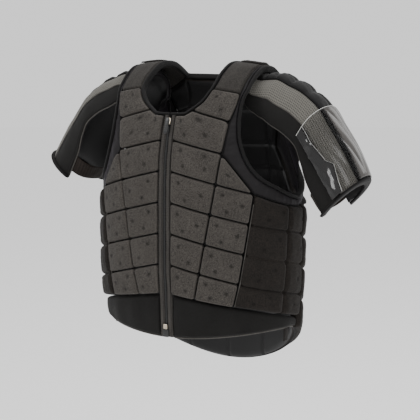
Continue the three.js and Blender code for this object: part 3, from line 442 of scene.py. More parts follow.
def shader_of(name, **values):
    material = bpy.data.materials.new(name)
    material.use_nodes = True
    tree = material.node_tree
    shader = tree.nodes["Principled BSDF"]
    for key, value in values.items():
        shader.inputs[key.replace("_", " ")].default_value = value
    return material, tree, shader


def swing(tree, value, size):
    """A share of 0 to 1 as a change both ways round nothing"""
    return math_node(tree, "MULTIPLY", math_node(tree, "SUBTRACT", value, 0.5), size)


def mark(tree, name):
    return node(tree, "Attribute", attribute_name=name).outputs["Fac"]


def on_object(tree):
    return node(tree, "TexCoord").outputs["Object"]


def noise(tree, where, scale, detail, **more):
    return node(tree, "TexNoise", {"Vector": where, "Scale": scale, "Detail": detail, **more}).outputs["Fac"]


def colour_with(tree, shader, colour):
    tree.links.new(colour, shader.inputs["Base Color"])


def bump_with(tree, shader, height, strength, distance):
    """Relief of a distance in millimetres"""
    bump = node(tree, "Bump", {"Height": height, "Strength": strength, "Distance": distance * MM})
    tree.links.new(bump.outputs[0], shader.inputs["Normal"])


# One period of a wave texture at scale 1, in metres
WAVE_PERIOD = 0.314


def threads(tree, across, pitch, direction, distortion=0.6):
    return node(tree, "TexWave", {
        "Vector": across, "Scale": WAVE_PERIOD / (pitch * MM), "Distortion": distortion,
        "Detail": 1.0, "Detail Scale": 1.5}, bands_direction=direction).outputs["Fac"]


def cloth(name, colour, pitch=(1.1, 1.1), contrast=0.3, mottle=0.25, blotch=0.12, roughness=0.85,
          sheen=0.04, relief=0.5, painted_highlight_strength=0.12, grain=2.2, diagonal=False, tint=None, specular=0.12):
    """Woven or knitted cloth: threads two ways, uneven yarn, large soft blotches, and a painted highlight
    that lightens the rolled edges
    """
    material, tree, shader = shader_of(
        name, Roughness=roughness, Sheen_Weight=sheen, Sheen_Roughness=0.45, Specular_IOR_Level=specular)
    if tint:
        shader.inputs["Sheen Tint"].default_value = linear(tint)
    uv = node(tree, "UVMap", uv_map="cloth").outputs[0]
    turned = node(tree, "Mapping", {"Vector": uv, "Rotation": (0, 0, math.radians(45 if diagonal else 0))})
    warp = threads(tree, turned.outputs[0], pitch[0], "X")
    weft = threads(tree, turned.outputs[0], pitch[1], "Y")
    weave = math_node(tree, "MULTIPLY", math_node(tree, "ADD", warp, weft), 0.5)
    where = on_object(tree)
    yarn = noise(tree, where, 1 / (grain * MM), 3.0, Roughness=0.6)
    soft = noise(tree, where, 28.0, 2.0)
    level = swing(tree, weave, contrast)
    uneven = swing(tree, yarn, mottle * 4)
    broad = swing(tree, soft, blotch * 3)
    total = math_node(tree, "ADD", math_node(tree, "ADD", level, uneven), broad)
    share = node(tree, "Clamp", {"Value": math_node(tree, "ADD", total, 0.5)}).outputs[0]
    base = np.array(colour, float) * CLOTH_SHADE
    cloth_colour = mixed(tree, share, linear(base * 0.55), linear(np.minimum(base * 1.45, 255)))
    # Painted highlight: the colour is lifted, speckled by the yarn, where the edge mark says a rolled edge
    # is
    painted_highlight_mask = math_node(tree, "MULTIPLY", mark(tree, "edge"), yarn)
    painted_highlight_share = math_node(tree, "MULTIPLY", painted_highlight_mask, painted_highlight_strength * 2)
    cloth_colour = mixed(tree, painted_highlight_share, cloth_colour, linear(np.minimum(base * 1.9 + 14, 255)))
    # Painted shade: vents are darkened to near black, standing in for the shade inside each hole
    colour_with(tree, shader, mixed(tree, mark(tree, "vent_shade"), cloth_colour, linear(base * 0.16)))
    height = math_node(tree, "ADD", math_node(tree, "MULTIPLY", weave, 0.6), yarn)
    bump_with(tree, shader, height, relief, 0.35)
    return material


def air_mesh(name, colour):
    """Spacer mesh: rows of small holes between knitted ribs"""
    material, tree, shader = shader_of(
        name, Roughness=0.8, Sheen_Weight=0.08, Sheen_Roughness=0.4, Specular_IOR_Level=0.15)
    uv = node(tree, "UVMap", uv_map="cloth").outputs[0]
    along = threads(tree, uv, 4.4, "X", 0.3)
    round_ = threads(tree, uv, 3.6, "Y", 0.3)
    holes = math_node(tree, "MULTIPLY", along, round_)
    fine = noise(tree, on_object(tree), 500.0, 2.0)
    ramp = node(tree, "MapRange", {"Value": holes, "From Min": 0.35, "From Max": 0.75})
    base = np.array(colour, float) * CLOTH_SHADE
    knit = mixed(tree, fine, linear(base * 0.82), linear(base * 1.2))
    colour_with(tree, shader, mixed(tree, ramp.outputs[0], knit, linear(base * 0.42)))
    height = math_node(tree, "SUBTRACT", math_node(tree, "MULTIPLY", fine, 0.3), ramp.outputs[0])
    bump_with(tree, shader, height, 0.7, 0.7)
    return material


def moulded(name, colour, roughness=0.4, metallic=0.0):
    """Moulded plastic or brushed metal with fine grain and rubbed patches"""
    material, tree, shader = shader_of(name, Metallic=metallic)
    where = on_object(tree)
    grain = noise(tree, where, 900.0, 3.0)
    rub = noise(tree, where, 140.0, 2.0)
    base = np.array(colour, float)
    colour_with(tree, shader, mixed(tree, rub, linear(base * 0.8), linear(np.minimum(base * 1.25, 255))))
    rough = node(tree, "MapRange", {"Value": rub, "To Min": roughness - 0.12, "To Max": roughness + 0.15})
    tree.links.new(rough.outputs[0], shader.inputs["Roughness"])
    bump_with(tree, shader, grain, 0.25, 0.1)
    return material


def clear_vinyl(name):
    """Glossy film: one mark says how much it hides, the other how milky it is, which is partly its own haze
    and partly a painted reflection
    """
    material, tree, shader = shader_of(name, IOR=1.5, Specular_IOR_Level=0.5, Roughness=0.16)
    haze_and_reflection = mark(tree, "haze_and_reflection")
    cover = mark(tree, "cover")
    scuff = noise(tree, on_object(tree), 40.0, 1.0)
    cloudy_and_reflection = math_node(tree, "MULTIPLY", haze_and_reflection, math_node(tree, "ADD", scuff, 0.45))
    facing = node(tree, "LayerWeight", {"Blend": 0.2}).outputs["Facing"]
    hidden = math_node(tree, "ADD", cover, math_node(tree, "MULTIPLY", facing, 0.2))
    solid_share = node(tree, "Clamp", {"Value": hidden})
    tree.links.new(solid_share.outputs[0], shader.inputs["Alpha"])
    # Painted reflection: the milky grey is partly the film's own haze and partly stands in for the studio
    # reflected in the film
    colour_with(tree, shader, mixed(tree, cloudy_and_reflection, linear((14, 13, 13)), linear((66, 63, 60))))
    return material


BLOCK = cloth("block_weave", (76, 72, 68), contrast=0.35, mottle=0.7, painted_highlight_strength=0.25, relief=0.8, grain=1.5)
SIDE = cloth("side_weave", (38, 34, 31), contrast=0.3, mottle=0.6, relief=0.7)
STRAP_CLOTH = cloth("strap_cloth", (58, 55, 52), contrast=0.3, mottle=0.5, relief=0.6)
YOKE = cloth("yoke_weave", (31, 30, 29), pitch=(0.9, 0.9), mottle=0.2, diagonal=True)
SMOOTH = cloth("smooth_cloth", (36, 34, 35), pitch=(0.8, 0.8), mottle=0.15, roughness=0.62, sheen=0.1,
               tint=(150, 138, 160), relief=0.3)
PAD = cloth("pad_cloth", (16, 15, 15), pitch=(1.0, 1.0), mottle=0.3, roughness=0.6, sheen=0.05,
            relief=0.4, specular=0.2)
BAND = cloth("band_cloth", (29, 28, 27), pitch=(1.6, 0.8), mottle=0.2, roughness=0.7, relief=0.4)
STRAP = cloth("strap_webbing", (42, 39, 37), pitch=(1.5, 2.4), contrast=0.5, mottle=0.25, diagonal=True)
ELASTIC = cloth("elastic_webbing", (45, 38, 34), pitch=(6.0, 1.9), contrast=0.75, mottle=0.25,
                roughness=0.75)
# Black satin lining, taken darker still as painted shade, so that the insides of the openings read as shaded
LINING = cloth("lining_satin", (11, 10, 11), pitch=(0.7, 0.7), mottle=0.2, roughness=0.5, sheen=0.02,
               relief=0.3, specular=0.3)
TAPE = cloth("binding_tape", (21, 20, 20), pitch=(1.2, 0.9), contrast=0.5, mottle=0.2, roughness=0.72)
PIPING = cloth("piping_cord", (92, 89, 85), pitch=(1.1, 1.1), mottle=0.25, roughness=0.7)
ZIP_TAPE = cloth("zip_tape", (72, 69, 66), pitch=(1.3, 0.9), contrast=0.45, mottle=0.25, diagonal=True)
THREAD = cloth("sewing_thread", (58, 55, 53), pitch=(0.5, 0.5), mottle=0.2)
DARK_THREAD = cloth("dark_thread", (30, 28, 28), pitch=(0.5, 0.5), mottle=0.2)
MESH = air_mesh("spacer_mesh", (132, 129, 122))
TEETH = moulded("zip_plastic", (17, 17, 17), 0.42)
METAL = moulded("zip_metal", (168, 158, 142), 0.32, 1.0)
VINYL = clear_vinyl("clear_vinyl")
# Pale cords along the film's edges: a painted highlight, standing in for those edges catching the light
FILM_EDGE_HIGHLIGHT = moulded("film_edge_painted_highlight", (205, 204, 200), 0.35)


# Meshes
BOTH = ("left", "right")


def mesh_piece(name, points, faces, materials, slot, nodes=(), uv=None, marks=None, sharp=60, fill=None,
               inner_from=None):
    mesh = bpy.data.meshes.new(name)
    mesh.from_pydata((np.asarray(points) * MM).tolist(), [], faces)
    corner = np.empty(len(mesh.loops), np.int32)
    mesh.loops.foreach_get("vertex_index", corner)
    layer = mesh.uv_layers.new(name="cloth")
    flat = np.asarray(points)[:, [0, 2]] if uv is None else np.asarray(uv)
    layer.data.foreach_set("uv", (flat[corner] * MM).astype(np.float32).ravel())
    for key, values in (marks or {}).items():
        attribute = mesh.attributes.new(key, "FLOAT", "POINT")
        attribute.data.foreach_set("value", np.asarray(values, np.float32).ravel())
    mesh.shade_smooth()
    mesh.set_sharp_from_angle(angle=math.radians(sharp))
    for material in materials:
        mesh.materials.append(material)
    if inner_from is not None:
        index = [1 if min(face) >= inner_from else 0 for face in faces]
        mesh.polygons.foreach_set("material_index", index)
    piece = bpy.data.objects.new(name, mesh)
    bpy.context.scene.collection.objects.link(piece)
    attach(piece, "root")
    if nodes:
        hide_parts(*nodes)
    return piece


def slab_faces(nu, nv, ring=False):
    """Faces of a closed solid between two grids that are stored one after the other"""
    far = nu * nv
    faces = []

    def at(i, j):
        return (i % nu) * nv + j

    for i in range(nu if ring else nu - 1):
        for j in range(nv - 1):
            a, b, c, d = at(i, j), at(i + 1, j), at(i + 1, j + 1), at(i, j + 1)
            faces.append((a, b, c, d))
            faces.append((far + a, far + d, far + c, far + b))
        faces.append((at(i, 0), far + at(i, 0), far + at(i + 1, 0), at(i + 1, 0)))
        faces.append((at(i, nv - 1), at(i + 1, nv - 1), far + at(i + 1, nv - 1), far + at(i, nv - 1)))
    if not ring:
        for j in range(nv - 1):
            faces.append((at(0, j), at(0, j + 1), far + at(0, j + 1), far + at(0, j)))
            faces.append((at(nu - 1, j), far + at(nu - 1, j), far + at(nu - 1, j + 1), at(nu - 1, j + 1)))
    return faces


def on_sides(name, points, faces, material, slot, sides, uv, marks, replaced, suffix="cloth", **more):
    """The same solid on the wearer's left and right, or once where sides is None"""
    materials = material if isinstance(material, (list, tuple)) else [material]
    if sides is None:
        nodes = [name] if replaced else ()
        return [mesh_piece(f"{name}_{suffix}", points, faces, materials, slot, nodes, uv, marks, **more)]
    made = []
    for side in sides:
        flip = side == "right"
        these = points * [-1, 1, 1] if flip else points
        turned = [face[::-1] for face in faces] if flip else faces
        nodes = [f"{name}_{side}"] if replaced else ()
        made.append(mesh_piece(
            f"{name}_{side}_{suffix}", these, turned, materials, slot, nodes, uv, marks, **more))
    return made


def solid(name, outer, inner, uv, material, slot, sides=BOTH, ring=False, marks=None, **more):
    """A closed piece between two grids of points, the outer face and the inner one"""
    nu, nv = outer.shape[:2]
    points = np.concatenate([outer.reshape(-1, 3), inner.reshape(-1, 3)])
    double = {key: np.concatenate([value.ravel()] * 2) for key, value in (marks or {}).items()}
    if isinstance(material, (list, tuple)):
        more["inner_from"] = nu * nv
    both = np.concatenate([uv.reshape(-1, 2)] * 2)
    faces = slab_faces(nu, nv, ring)
    return on_sides(name, points, faces, material, slot, sides, both, double, True, **more)


def running(points, axis):
    """Distance along one direction of a grid, from its start"""
    step = np.linalg.norm(np.diff(points, axis=axis), axis=-1)
    lead = np.zeros_like(np.take(step, [0], axis=axis))
    return np.cumsum(np.concatenate([lead, step], axis=axis), axis=axis)


def rim(points, radius, ring=False):
    """0 inside, rising to 1 at the sides of a grid over the rounding radius"""
    share = []
    for axis in ((1,) if ring else (0, 1)):
        gone = running(points, axis)
        total = np.take(gone, [-1], axis=axis)
        share.append(np.clip(1 - np.minimum(gone, total - gone) / radius, 0, 1))
    return np.minimum(np.sqrt(sum(part ** 2 for part in share)), 1)


def roll(rho):
    """How far a rounded edge has fallen, from 0 inside to 1 at the rim"""
    return 1 - np.sqrt(1 - rho ** 2)


def ripple(points, size, scale, seed):
    """Gentle unevenness of cloth: a sum of sines across the points"""
    rng = np.random.default_rng(seed)
    total = np.zeros(points.shape[:-1])
    for _ in range(7):
        direction = rng.normal(size=3)
        direction *= 2 * math.pi / (scale * rng.uniform(0.6, 1.7) * np.linalg.norm(direction))
        total += np.sin(points @ direction + rng.uniform(0, 6.3))
    return total * size / 2.6


def patch(name, spot, us, vs, top, bottom, material, slot, sides=BOTH, ring=False, radius=2.0,
          keep=0.45, wrinkle=0.0, scale=30.0, seed=1, **more):
    """Cloth layer on the vest's surface with rolled edges and slight wrinkles"""
    u, v = crossed(us, vs)
    where = spot(u, v)
    top = np.broadcast_to(top(u, v) if callable(top) else float(top), u.shape)
    bottom = np.broadcast_to(bottom(u, v) if callable(bottom) else float(bottom), u.shape)
    rho = rim(below(where, top), radius, ring)
    fall = roll(rho) * (bottom - top) * keep
    bend = ripple(surface(where[..., 0], where[..., 1]), wrinkle, scale, seed) * (1 - rho ** 2)
    return solid(name, below(where, top + fall + bend), below(where, bottom - fall * 0.6), where,
                 material, slot, sides, ring, {"edge": rho ** 2}, **more)


def tube_faces(nu, nv, ring):
    faces = []
    for i in range(nu if ring else nu - 1):
        for j in range(nv):
            a, b = (i % nu) * nv + j, (i % nu) * nv + (j + 1) % nv
            c, d = ((i + 1) % nu) * nv + (j + 1) % nv, ((i + 1) % nu) * nv + j
            faces.append((a, b, c, d))
    if not ring:
        faces.append(tuple(range(nv))[::-1])
        faces.append(tuple((nu - 1) * nv + j for j in range(nv)))
    return faces


def rolled(name, low, high, top, bottom, material, slot, sides=BOTH, ring=False, count=14, power=0.6):
    """Tape rolled over an edge: a rounded band between two lines of places and two depths"""
    phi = np.arange(count) / count * 2 * math.pi
    across = np.sign(np.cos(phi)) * np.abs(np.cos(phi)) ** power
    deep = np.sign(np.sin(phi)) * np.abs(np.sin(phi)) ** power
    share = np.broadcast_to(0.5 + across / 2, (len(low), count))
    where = low[:, None] + (high - low)[:, None] * share[..., None]
    depth = (top + bottom) / 2 + (bottom - top) / 2 * np.broadcast_to(deep, share.shape)
    points = below(where, depth)
    along = running(points, 0)
    uv = np.stack([np.broadcast_to(phi * 3, along.shape), along], -1)
    faces = tube_faces(len(low), count, ring)
    marks = {"edge": np.clip(-deep, 0, 1)[None].repeat(len(low), 0)}
    return on_sides(name, points.reshape(-1, 3), faces, material, slot, sides, uv.reshape(-1, 2), marks,
                    True)


# A direction that no cord or stitch runs in
ASKEW = [0.31, -0.62, 0.72]


def cord(name, path, radius, material, slot, sides=BOTH, ring=False, count=8):
    """A thin round cord along a path of points, such as piping"""
    ahead = np.roll(path, -1, 0) if ring else np.concatenate([path[1:], path[-1:]])
    behind = np.roll(path, 1, 0) if ring else np.concatenate([path[:1], path[:-1]])
    along = ahead - behind
    along /= np.linalg.norm(along, axis=-1, keepdims=True)
    side = np.cross(along, ASKEW)
    side /= np.linalg.norm(side, axis=-1, keepdims=True)
    lift = np.cross(along, side)
    phi = np.arange(count) / count * 2 * math.pi
    ringed = side[:, None] * np.cos(phi)[:, None] + lift[:, None] * np.sin(phi)[:, None]
    points = path[:, None] + radius * ringed
    gone = running(points, 0)
    uv = np.stack([np.broadcast_to(phi * radius, gone.shape), gone], -1).reshape(-1, 2)
    faces = [face[::-1] for face in tube_faces(len(path), count, ring)]
    return on_sides(name, points.reshape(-1, 3), faces, material, slot, sides, uv, None, False, "piping")


STITCH = dict(length=2.7, pitch=4.2, radius=0.42, count=6)


def stitches(name, path, material, slot, sides=BOTH):
    """A row of separate sewn stitches along a path of points"""
    gone = np.concatenate([[0], np.cumsum(np.linalg.norm(np.diff(path, axis=0), axis=-1))])
    starts = np.arange(1.0, gone[-1] - STITCH["length"], STITCH["pitch"])
    points, faces = [], []
    phi = np.arange(STITCH["count"]) / STITCH["count"] * 2 * math.pi
    stations = [(0, 0.3), (0.2, 0.9), (0.5, 1.0), (0.8, 0.9), (1, 0.3)]
    single = [face[::-1] for face in tube_faces(len(stations), STITCH["count"], False)]
    for start in starts:
        ends = [np.array([np.interp(start + share * STITCH["length"], gone, path[:, k]) for k in range(3)])
                for share in (0, 1)]
        along = (ends[1] - ends[0]) / np.linalg.norm(ends[1] - ends[0])
        side = np.cross(along, ASKEW)
        side /= np.linalg.norm(side)
        lift = np.cross(along, side)
        first = len(points)
        for share, size in stations:
            middle = lerp(ends[0], ends[1], share)
            for angle in phi:
                spoke = side * math.cos(angle) + lift * math.sin(angle)
                points.append(middle + STITCH["radius"] * size * spoke)
        faces += [tuple(first + corner for corner in face) for face in single]
    return on_sides(name, np.array(points), faces, material, slot, sides, None, None, False, "stitches")


# Foam blocks of the front, each a crowned pillow with rounded corners and small vents
BLOCK_EDGE = 5.5
BLOCK_SINK = 7.0
BLOCK_CROWN = 1.0
BLOCK_SPREAD = 0.7
BLOCK_STEP = 1.7
BLOCK_FILL = 0.9
QUILT_FILL = 0.8
BLOCK_SLACK = [(0.35, 26), (0.22, 9)]
QUILT_SLACK = [(0.4, 30), (0.2, 10)]
VENT = dict(radius=3.9, depth=0.8, points=5, spikes=0.12)
VENTS = {
    "full": [(0.22, 0.75), (0.76, 0.55), (0.40, 0.24)],
    "wide": [(0.22, 0.78), (0.72, 0.80), (0.76, 0.40), (0.30, 0.30)],
    "narrow": [(0.30, 0.72), (0.66, 0.30)],
    "single": [(0.45, 0.45)],
}


def inset_corners(corners, distance):
    """The corners of a flat outline, moved inwards by a distance from both its sides"""
    def into(a, b):
        size = math.hypot(b[0] - a[0], b[1] - a[1])
        return np.array([-(b[1] - a[1]) / size, (b[0] - a[0]) / size])

    moved = []
    for i, corner in enumerate(corners):
        n = into(corners[i - 1], corner)
        m = into(corner, corners[(i + 1) % len(corners)])
        moved.append(corner + (n + m) * distance / (1 + n @ m))
    return moved


def foam_slack(points, waves, name):
    """Unevenness of soft foam, other for each piece: one wide ripple and one narrow one"""
    seed = sum(map(ord, name))
    return sum(ripple(points, size, scale, seed + i) for i, (size, scale) in enumerate(waves))


def vent_hole(far):
    """How dark the painted shade in a vent is at a distance from its middle, in shares of its radius"""
    return np.clip(1.5 - far * 1.15, 0, 1)


def painted_highlight_rim(rho):
    """Where a crowned edge gets the painted highlight, which stops short of the seam itself"""
    return np.clip(rho * 1.3, 0, 1) ** 4 * (rho < 0.93)


def add_block(name, corners, vents, bulge=None):
    p, q, *rest = inset_corners([np.array(corner, float) for corner in corners], GROOVE / 2 - BLOCK_SPREAD)
    top = np.array(rest[::-1])
    wide = (math.dist(p, q) + math.dist(top[0], top[-1])) / 2
    high = (math.dist(p, top[0]) + math.dist(q, top[-1])) / 2
    u, v = crossed(*[np.linspace(0, 1, int(size / BLOCK_STEP) + 6) for size in (wide, high)])
    edge_u = BLOCK_EDGE / wide
    edge_v = BLOCK_EDGE / high
    a = np.clip(1 - np.minimum(u, 1 - u) / edge_u, 0, 1)
    b = np.clip(1 - np.minimum(v, 1 - v) / edge_v, 0, 1)
    round_a = a * np.sqrt(1 - b * b / 2)
    round_b = b * np.sqrt(1 - a * a / 2)
    u = u + np.sign(0.5 - u) * (a - round_a) * edge_u
    v = v + np.sign(0.5 - v) * (b - round_b) * edge_v
    rho = np.minimum(np.hypot(round_a, round_b), 1)
    steps = np.arange(len(top)) / (len(top) - 1)
    along = np.stack([np.interp(u, steps, top[:, 0]), np.interp(u, steps, top[:, 1])], -1)
    where = between(between(p, q, u), along, v)
    if bulge:
        where = where + bulge(v) * (1 - u)[..., None]
    flat = surface(where[..., 0], where[..., 1])
    hole = np.zeros(u.shape)
    dent = np.zeros(u.shape)
    for cu, cv in VENTS[vents]:
        du, dv = (u - cu) * wide, (v - cv) * high
        far = np.hypot(du, dv) / VENT["radius"]
        star = 1 + VENT["spikes"] * np.cos(VENT["points"] * np.arctan2(dv, du) + 6 * cu)
        hole = np.maximum(hole, vent_hole(far / star))
        dent = np.maximum(dent, np.exp(-(far / 1.25) ** 2))
    crown = BLOCK_CROWN * np.sin(math.pi * np.clip(u, 0, 1)) * np.sin(math.pi * np.clip(v, 0, 1))
    slack = foam_slack(flat, BLOCK_SLACK, name)
    depth = BLOCK_SINK * roll(rho) + VENT["depth"] * dent - crown + slack * (1 - rho ** 2)
    inner = BLOCK_THICKNESS - 1.5 * roll(rho)
    # Marks for painted light: a painted highlight along the crowned edges and painted shade in the vents
    marks = {"edge": painted_highlight_rim(rho), "vent_shade": hole * 0.6}
    solid(name, below(where, depth), below(where, inner), where, BLOCK, "block_fabric", marks=marks,
          fill=BLOCK_FILL)


def zip_side(row):
    return on_row(row, ZIP_EDGE)


def block(at):
    return blocks_place(float(at))


TOP_ROW = SEAM_INNER["rows"]
for row in range(SEAM_OUTER["rows"]):
    add_block(f"block_inner_{row + 1}", [
        zip_side(row), seam_place(SEAM_INNER, row), seam_place(SEAM_INNER, row + 1), zip_side(row + 1)],
        "narrow" if row < 2 else "full")
    top = seam_place(SEAM_OUTER, row + 1) if row + 1 < SEAM_OUTER["rows"] else block(SIDE_CORNER)
    add_block(f"block_outer_{row + 1}", [
        seam_place(SEAM_INNER, row), seam_place(SEAM_OUTER, row), top, seam_place(SEAM_INNER, row + 1)],
        "full")
add_block(f"block_inner_{TOP_ROW}", [
    zip_side(TOP_ROW - 1), seam_place(SEAM_INNER, TOP_ROW - 1), block(NOTCH), zip_side(TOP_ROW)], "wide")
CHEST = neck_seam(CHEST_NECK)
ZIP_CORNER_Z = float(neck_seam(0.5)[1])
ZIP_TOP = [ZIP_EDGE, ZIP_CORNER_Z]
add_block(f"block_inner_{TOP_ROW + 1}", [
    zip_side(TOP_ROW), block(NOTCH), block(CHEST_CORNER), CHEST, neck_seam(1.1), ZIP_TOP], "wide")


def chest_bulge(v):
    return neck_seam(lerp(CHEST_NECK, NECK_END, v)) - between(CHEST, neck_seam(NECK_END), v)


add_block("block_chest", [
    CHEST, block(CHEST_CORNER), block(STRAP_END), neck_seam(NECK_END)], "narrow", chest_bulge)
TRIANGLE_TIP = 0.1
INNER_TOP = seam_place(SEAM_INNER, TOP_ROW - 1)
add_block("block_armhole", [
    INNER_TOP, block(SIDE_CORNER), lerp(block(NOTCH), block(SIDE_CORNER), TRIANGLE_TIP),
    lerp(block(NOTCH), INNER_TOP, TRIANGLE_TIP)], "single")

# Straps over the shoulders and the flap on each
STRAP_NECK = [NECK_END, SHOULDER_START, SHOULDER_START + 0.35, SHOULDER_START + 1, SHOULDER_START + 3,
              NAPE_START - 1, NAPE_START - 0.35, NAPE_START - 0.15, NAPE_START]
STRAP_ARMHOLE = [STRAP_END, 1.5, 1, 0.5, 0, -0.5, -1, -1.5, -STRAP_END]
STRAP_LAST = len(STRAP_NECK) - 1


def strap_spot(u, row):
    rows = np.arange(STRAP_LAST + 1)
    start = neck_seam(np.interp(row, rows, STRAP_NECK))
    return between(start, blocks_loop(np.interp(row, rows, STRAP_ARMHOLE)), u)


patch("shoulder_strap", strap_spot, np.linspace(0.012, 0.988, 40), np.linspace(0.03, STRAP_LAST, 110),
      STRAP_DEPTH, STRAP_DEPTH + STRAP_THICKNESS, STRAP_CLOTH, "strap_fabric", radius=5, wrinkle=0.35,
      fill=0.8)
patch("shoulder_flap", strap_spot, np.linspace(0.12, 0.88, 34), np.linspace(3.2, STRAP_LAST - 0.3, 70),
      0.2, STRAP_DEPTH - LAYER_GAP, STRAP, "strap_fabric", radius=1.2, wrinkle=0.3, scale=40)


def strap_line(u, rows, depth):
    rows = np.asarray(rows, float)
    return below(strap_spot(np.broadcast_to(u, rows.shape), rows), depth)


FLAP_ROWS = np.linspace(3.3, STRAP_LAST - 0.4, 60)
STRAP_ROWS = np.linspace(0.3, STRAP_LAST - 0.3, 80)
for number, u in enumerate((0.17, 0.83)):
    stitches(f"flap_edge_{number + 1}", strap_line(u, FLAP_ROWS, 0.1), THREAD, "strap_fabric")
for number, u in enumerate((0.07, 0.93)):
    line = strap_line(u, STRAP_ROWS, STRAP_DEPTH)
    stitches(f"strap_edge_{number + 1}", line, DARK_THREAD, "strap_fabric")

STRAP_END_LINE = strap_spot(np.linspace(0.0, 1.0, 40), np.full(40, float(STRAP_LAST)))
cord("strap_back_seam", below(STRAP_END_LINE, 10.0), 3.2, TAPE, "binding_tape")

# Lining behind the front blocks
LINING_ROWS = [(on_row(row, SEAM_GAP), seam_place(SEAM_OUTER, row)) for row in range(4)] + [
    (on_row(3.7, SEAM_GAP), block(SIDE_CORNER)),
    (on_row(4.4, SEAM_GAP), block(7)),
    (on_row(5.2, SEAM_GAP), block(NOTCH)),
    (np.array([SEAM_GAP, ZIP_CORNER_Z]), block(5)),
    (neck_seam(1.2), block(4.5)),
    (CHEST, block(CHEST_CORNER)),
    (neck_seam(3), block(3)),
    (neck_seam(NECK_END), block(STRAP_END)),
]
LINING_INNER = np.array([pair[0] for pair in LINING_ROWS], float)
LINING_OUTER = np.array([pair[1] for pair in LINING_ROWS], float)


def lining_spot(u, row):
    rows = np.arange(len(LINING_ROWS))
    start, end = [np.stack([np.interp(row, rows, side[:, k]) for k in (0, 1)], -1)
                  for side in (LINING_INNER, LINING_OUTER)]
    return between(start, end, lerp(0.004, 1.03, u))


patch("front_lining", lining_spot, np.linspace(0, 1, 40), np.linspace(0, len(LINING_ROWS) - 1, 60),
      LINING_TOP, WALL, LINING, "lining_fabric", radius=2, wrinkle=0.3, fill=0.7)


# Zip
ZIP_LOW = STRAP_TOP - FRONT_HEM_DROP
ZIP_BINDING_Z = float(neck_seam(0.4)[1])
ZIP_HIGH = ZIP_BINDING_Z + NECK_BINDING_WIDTH / 2
ZIP_Z = np.linspace(ZIP_LOW, ZIP_HIGH, 160)


def strip_spot(left, right):
    def spot(u, v):
        return np.stack([lerp(left, right, u), lerp(ZIP_LOW, ZIP_HIGH, v)], -1)
    return spot


COIL_SIDE = ZIP_COIL_WIDTH / 2
FLAP_SIDE = COIL_SIDE + SEAM_GAP
patch("zip_flap", strip_spot(FLAP_SIDE, FLAP_SIDE + ZIP_FLAP_WIDTH), np.linspace(0, 1, 12),
      np.linspace(0, 1, 200), ZIP_DEPTH, BLOCK_THICKNESS, ZIP_TAPE, "zip_tape", radius=1.6, wrinkle=0.3,
      scale=22)
patch("zip_coil", strip_spot(-COIL_SIDE, COIL_SIDE), np.linspace(0, 1, 6), np.linspace(0, 1, 160),
      ZIP_DEPTH + 3, BLOCK_THICKNESS, TAPE, "zip_teeth", sides=None, radius=1)


def along_zip(length, depth):
    return below(np.stack([np.full(len(ZIP_Z), float(length)), ZIP_Z], -1), depth)


for number, length in enumerate((COIL_SIDE + 2.2, COIL_SIDE + ZIP_FLAP_WIDTH - 1)):
    stitches(f"zip_edge_{number + 1}", along_zip(length, ZIP_DEPTH - 0.1), DARK_THREAD, "zip_tape")
TOOTH = dict(pitch=2.6, width=3.4, height=1.08, depth=ZIP_DEPTH + 2.6, half_thickness=0.8, offset=0.9)


def zip_teeth():
    points, faces = [], []
    box = [(0, 3, 2, 1), (4, 5, 6, 7), (0, 1, 5, 4), (1, 2, 6, 5), (2, 3, 7, 6), (3, 0, 4, 7)]
    for i, z in enumerate(np.arange(ZIP_LOW + 2, ZIP_HIGH - 14, TOOTH["pitch"] / 2)):
        middle = TOOTH["offset"] if i % 2 else -TOOTH["offset"]
        lengths = middle + TOOTH["width"] / 2 * np.array([-1, 1, 1, -1] * 2)
        heights = z + TOOTH["height"] / 2 * np.array([-1, -1, 1, 1] * 2)
        depths = TOOTH["depth"] + TOOTH["half_thickness"] * np.array([1] * 4 + [-1] * 4)
        first = len(points)
        points += list(below(np.stack([lengths, heights], -1), depths))
        faces += [tuple(first + corner for corner in face) for face in box]
    mesh_piece("zip_teeth_row", np.array(points), faces, [TEETH], "zip_teeth", sharp=30)


zip_teeth()


def on_zip(z, depth):
    middle = np.array([[0.0, z]])
    normal = tangents(middle[:, 0], middle[:, 1])[2][0]
    point = below(middle, depth)[0]
    up = np.cross(normal, [1.0, 0, 0])
    return point, np.array([1.0, 0, 0]), -up if up[2] < 0 else up, normal


def plate(name, z, depth, outline, thickness, material, slot, nodes=(), bevel=0.6):
    """A flat moulded plate on the zip: outline is pairs across and up, in millimetres"""
    point, right, up, normal = on_zip(z, depth)
    outline = np.array(outline, float)
    middle = outline.mean(0)
    layers = [(0.86, 0), (1, bevel), (1, thickness - bevel), (0.86, thickness)]
    points = []
    for scale, lift in layers:
        for x, y in middle + (outline - middle) * scale:
            points.append(point + right * x + up * y + normal * lift)
    count = len(outline)
    faces = tube_faces(len(layers), count, False)
    return mesh_piece(name, np.array(points), faces, [material], slot, nodes, sharp=35)


def rounded_box(width, length, corner=1.6, waist=1.0):
    """Outline of a rounded plate, counter-clockwise, that narrows in its middle by waist"""
    points = []
    for cx, cy, start in ((1, -1, -90), (1, 1, 0), (-1, 1, 90), (-1, -1, 180)):
        for step in range(5):
            angle = math.radians(start + 22.5 * step)
            points.append((cx * (width / 2 - corner) + corner * math.cos(angle),
                           cy * (length / 2 - corner) + corner * math.sin(angle)))
    shaped = []
    for x, y in points:
        shaped.append((x * lerp(waist, 1, min(1, abs(y) / (length / 2))), y))
    return shaped


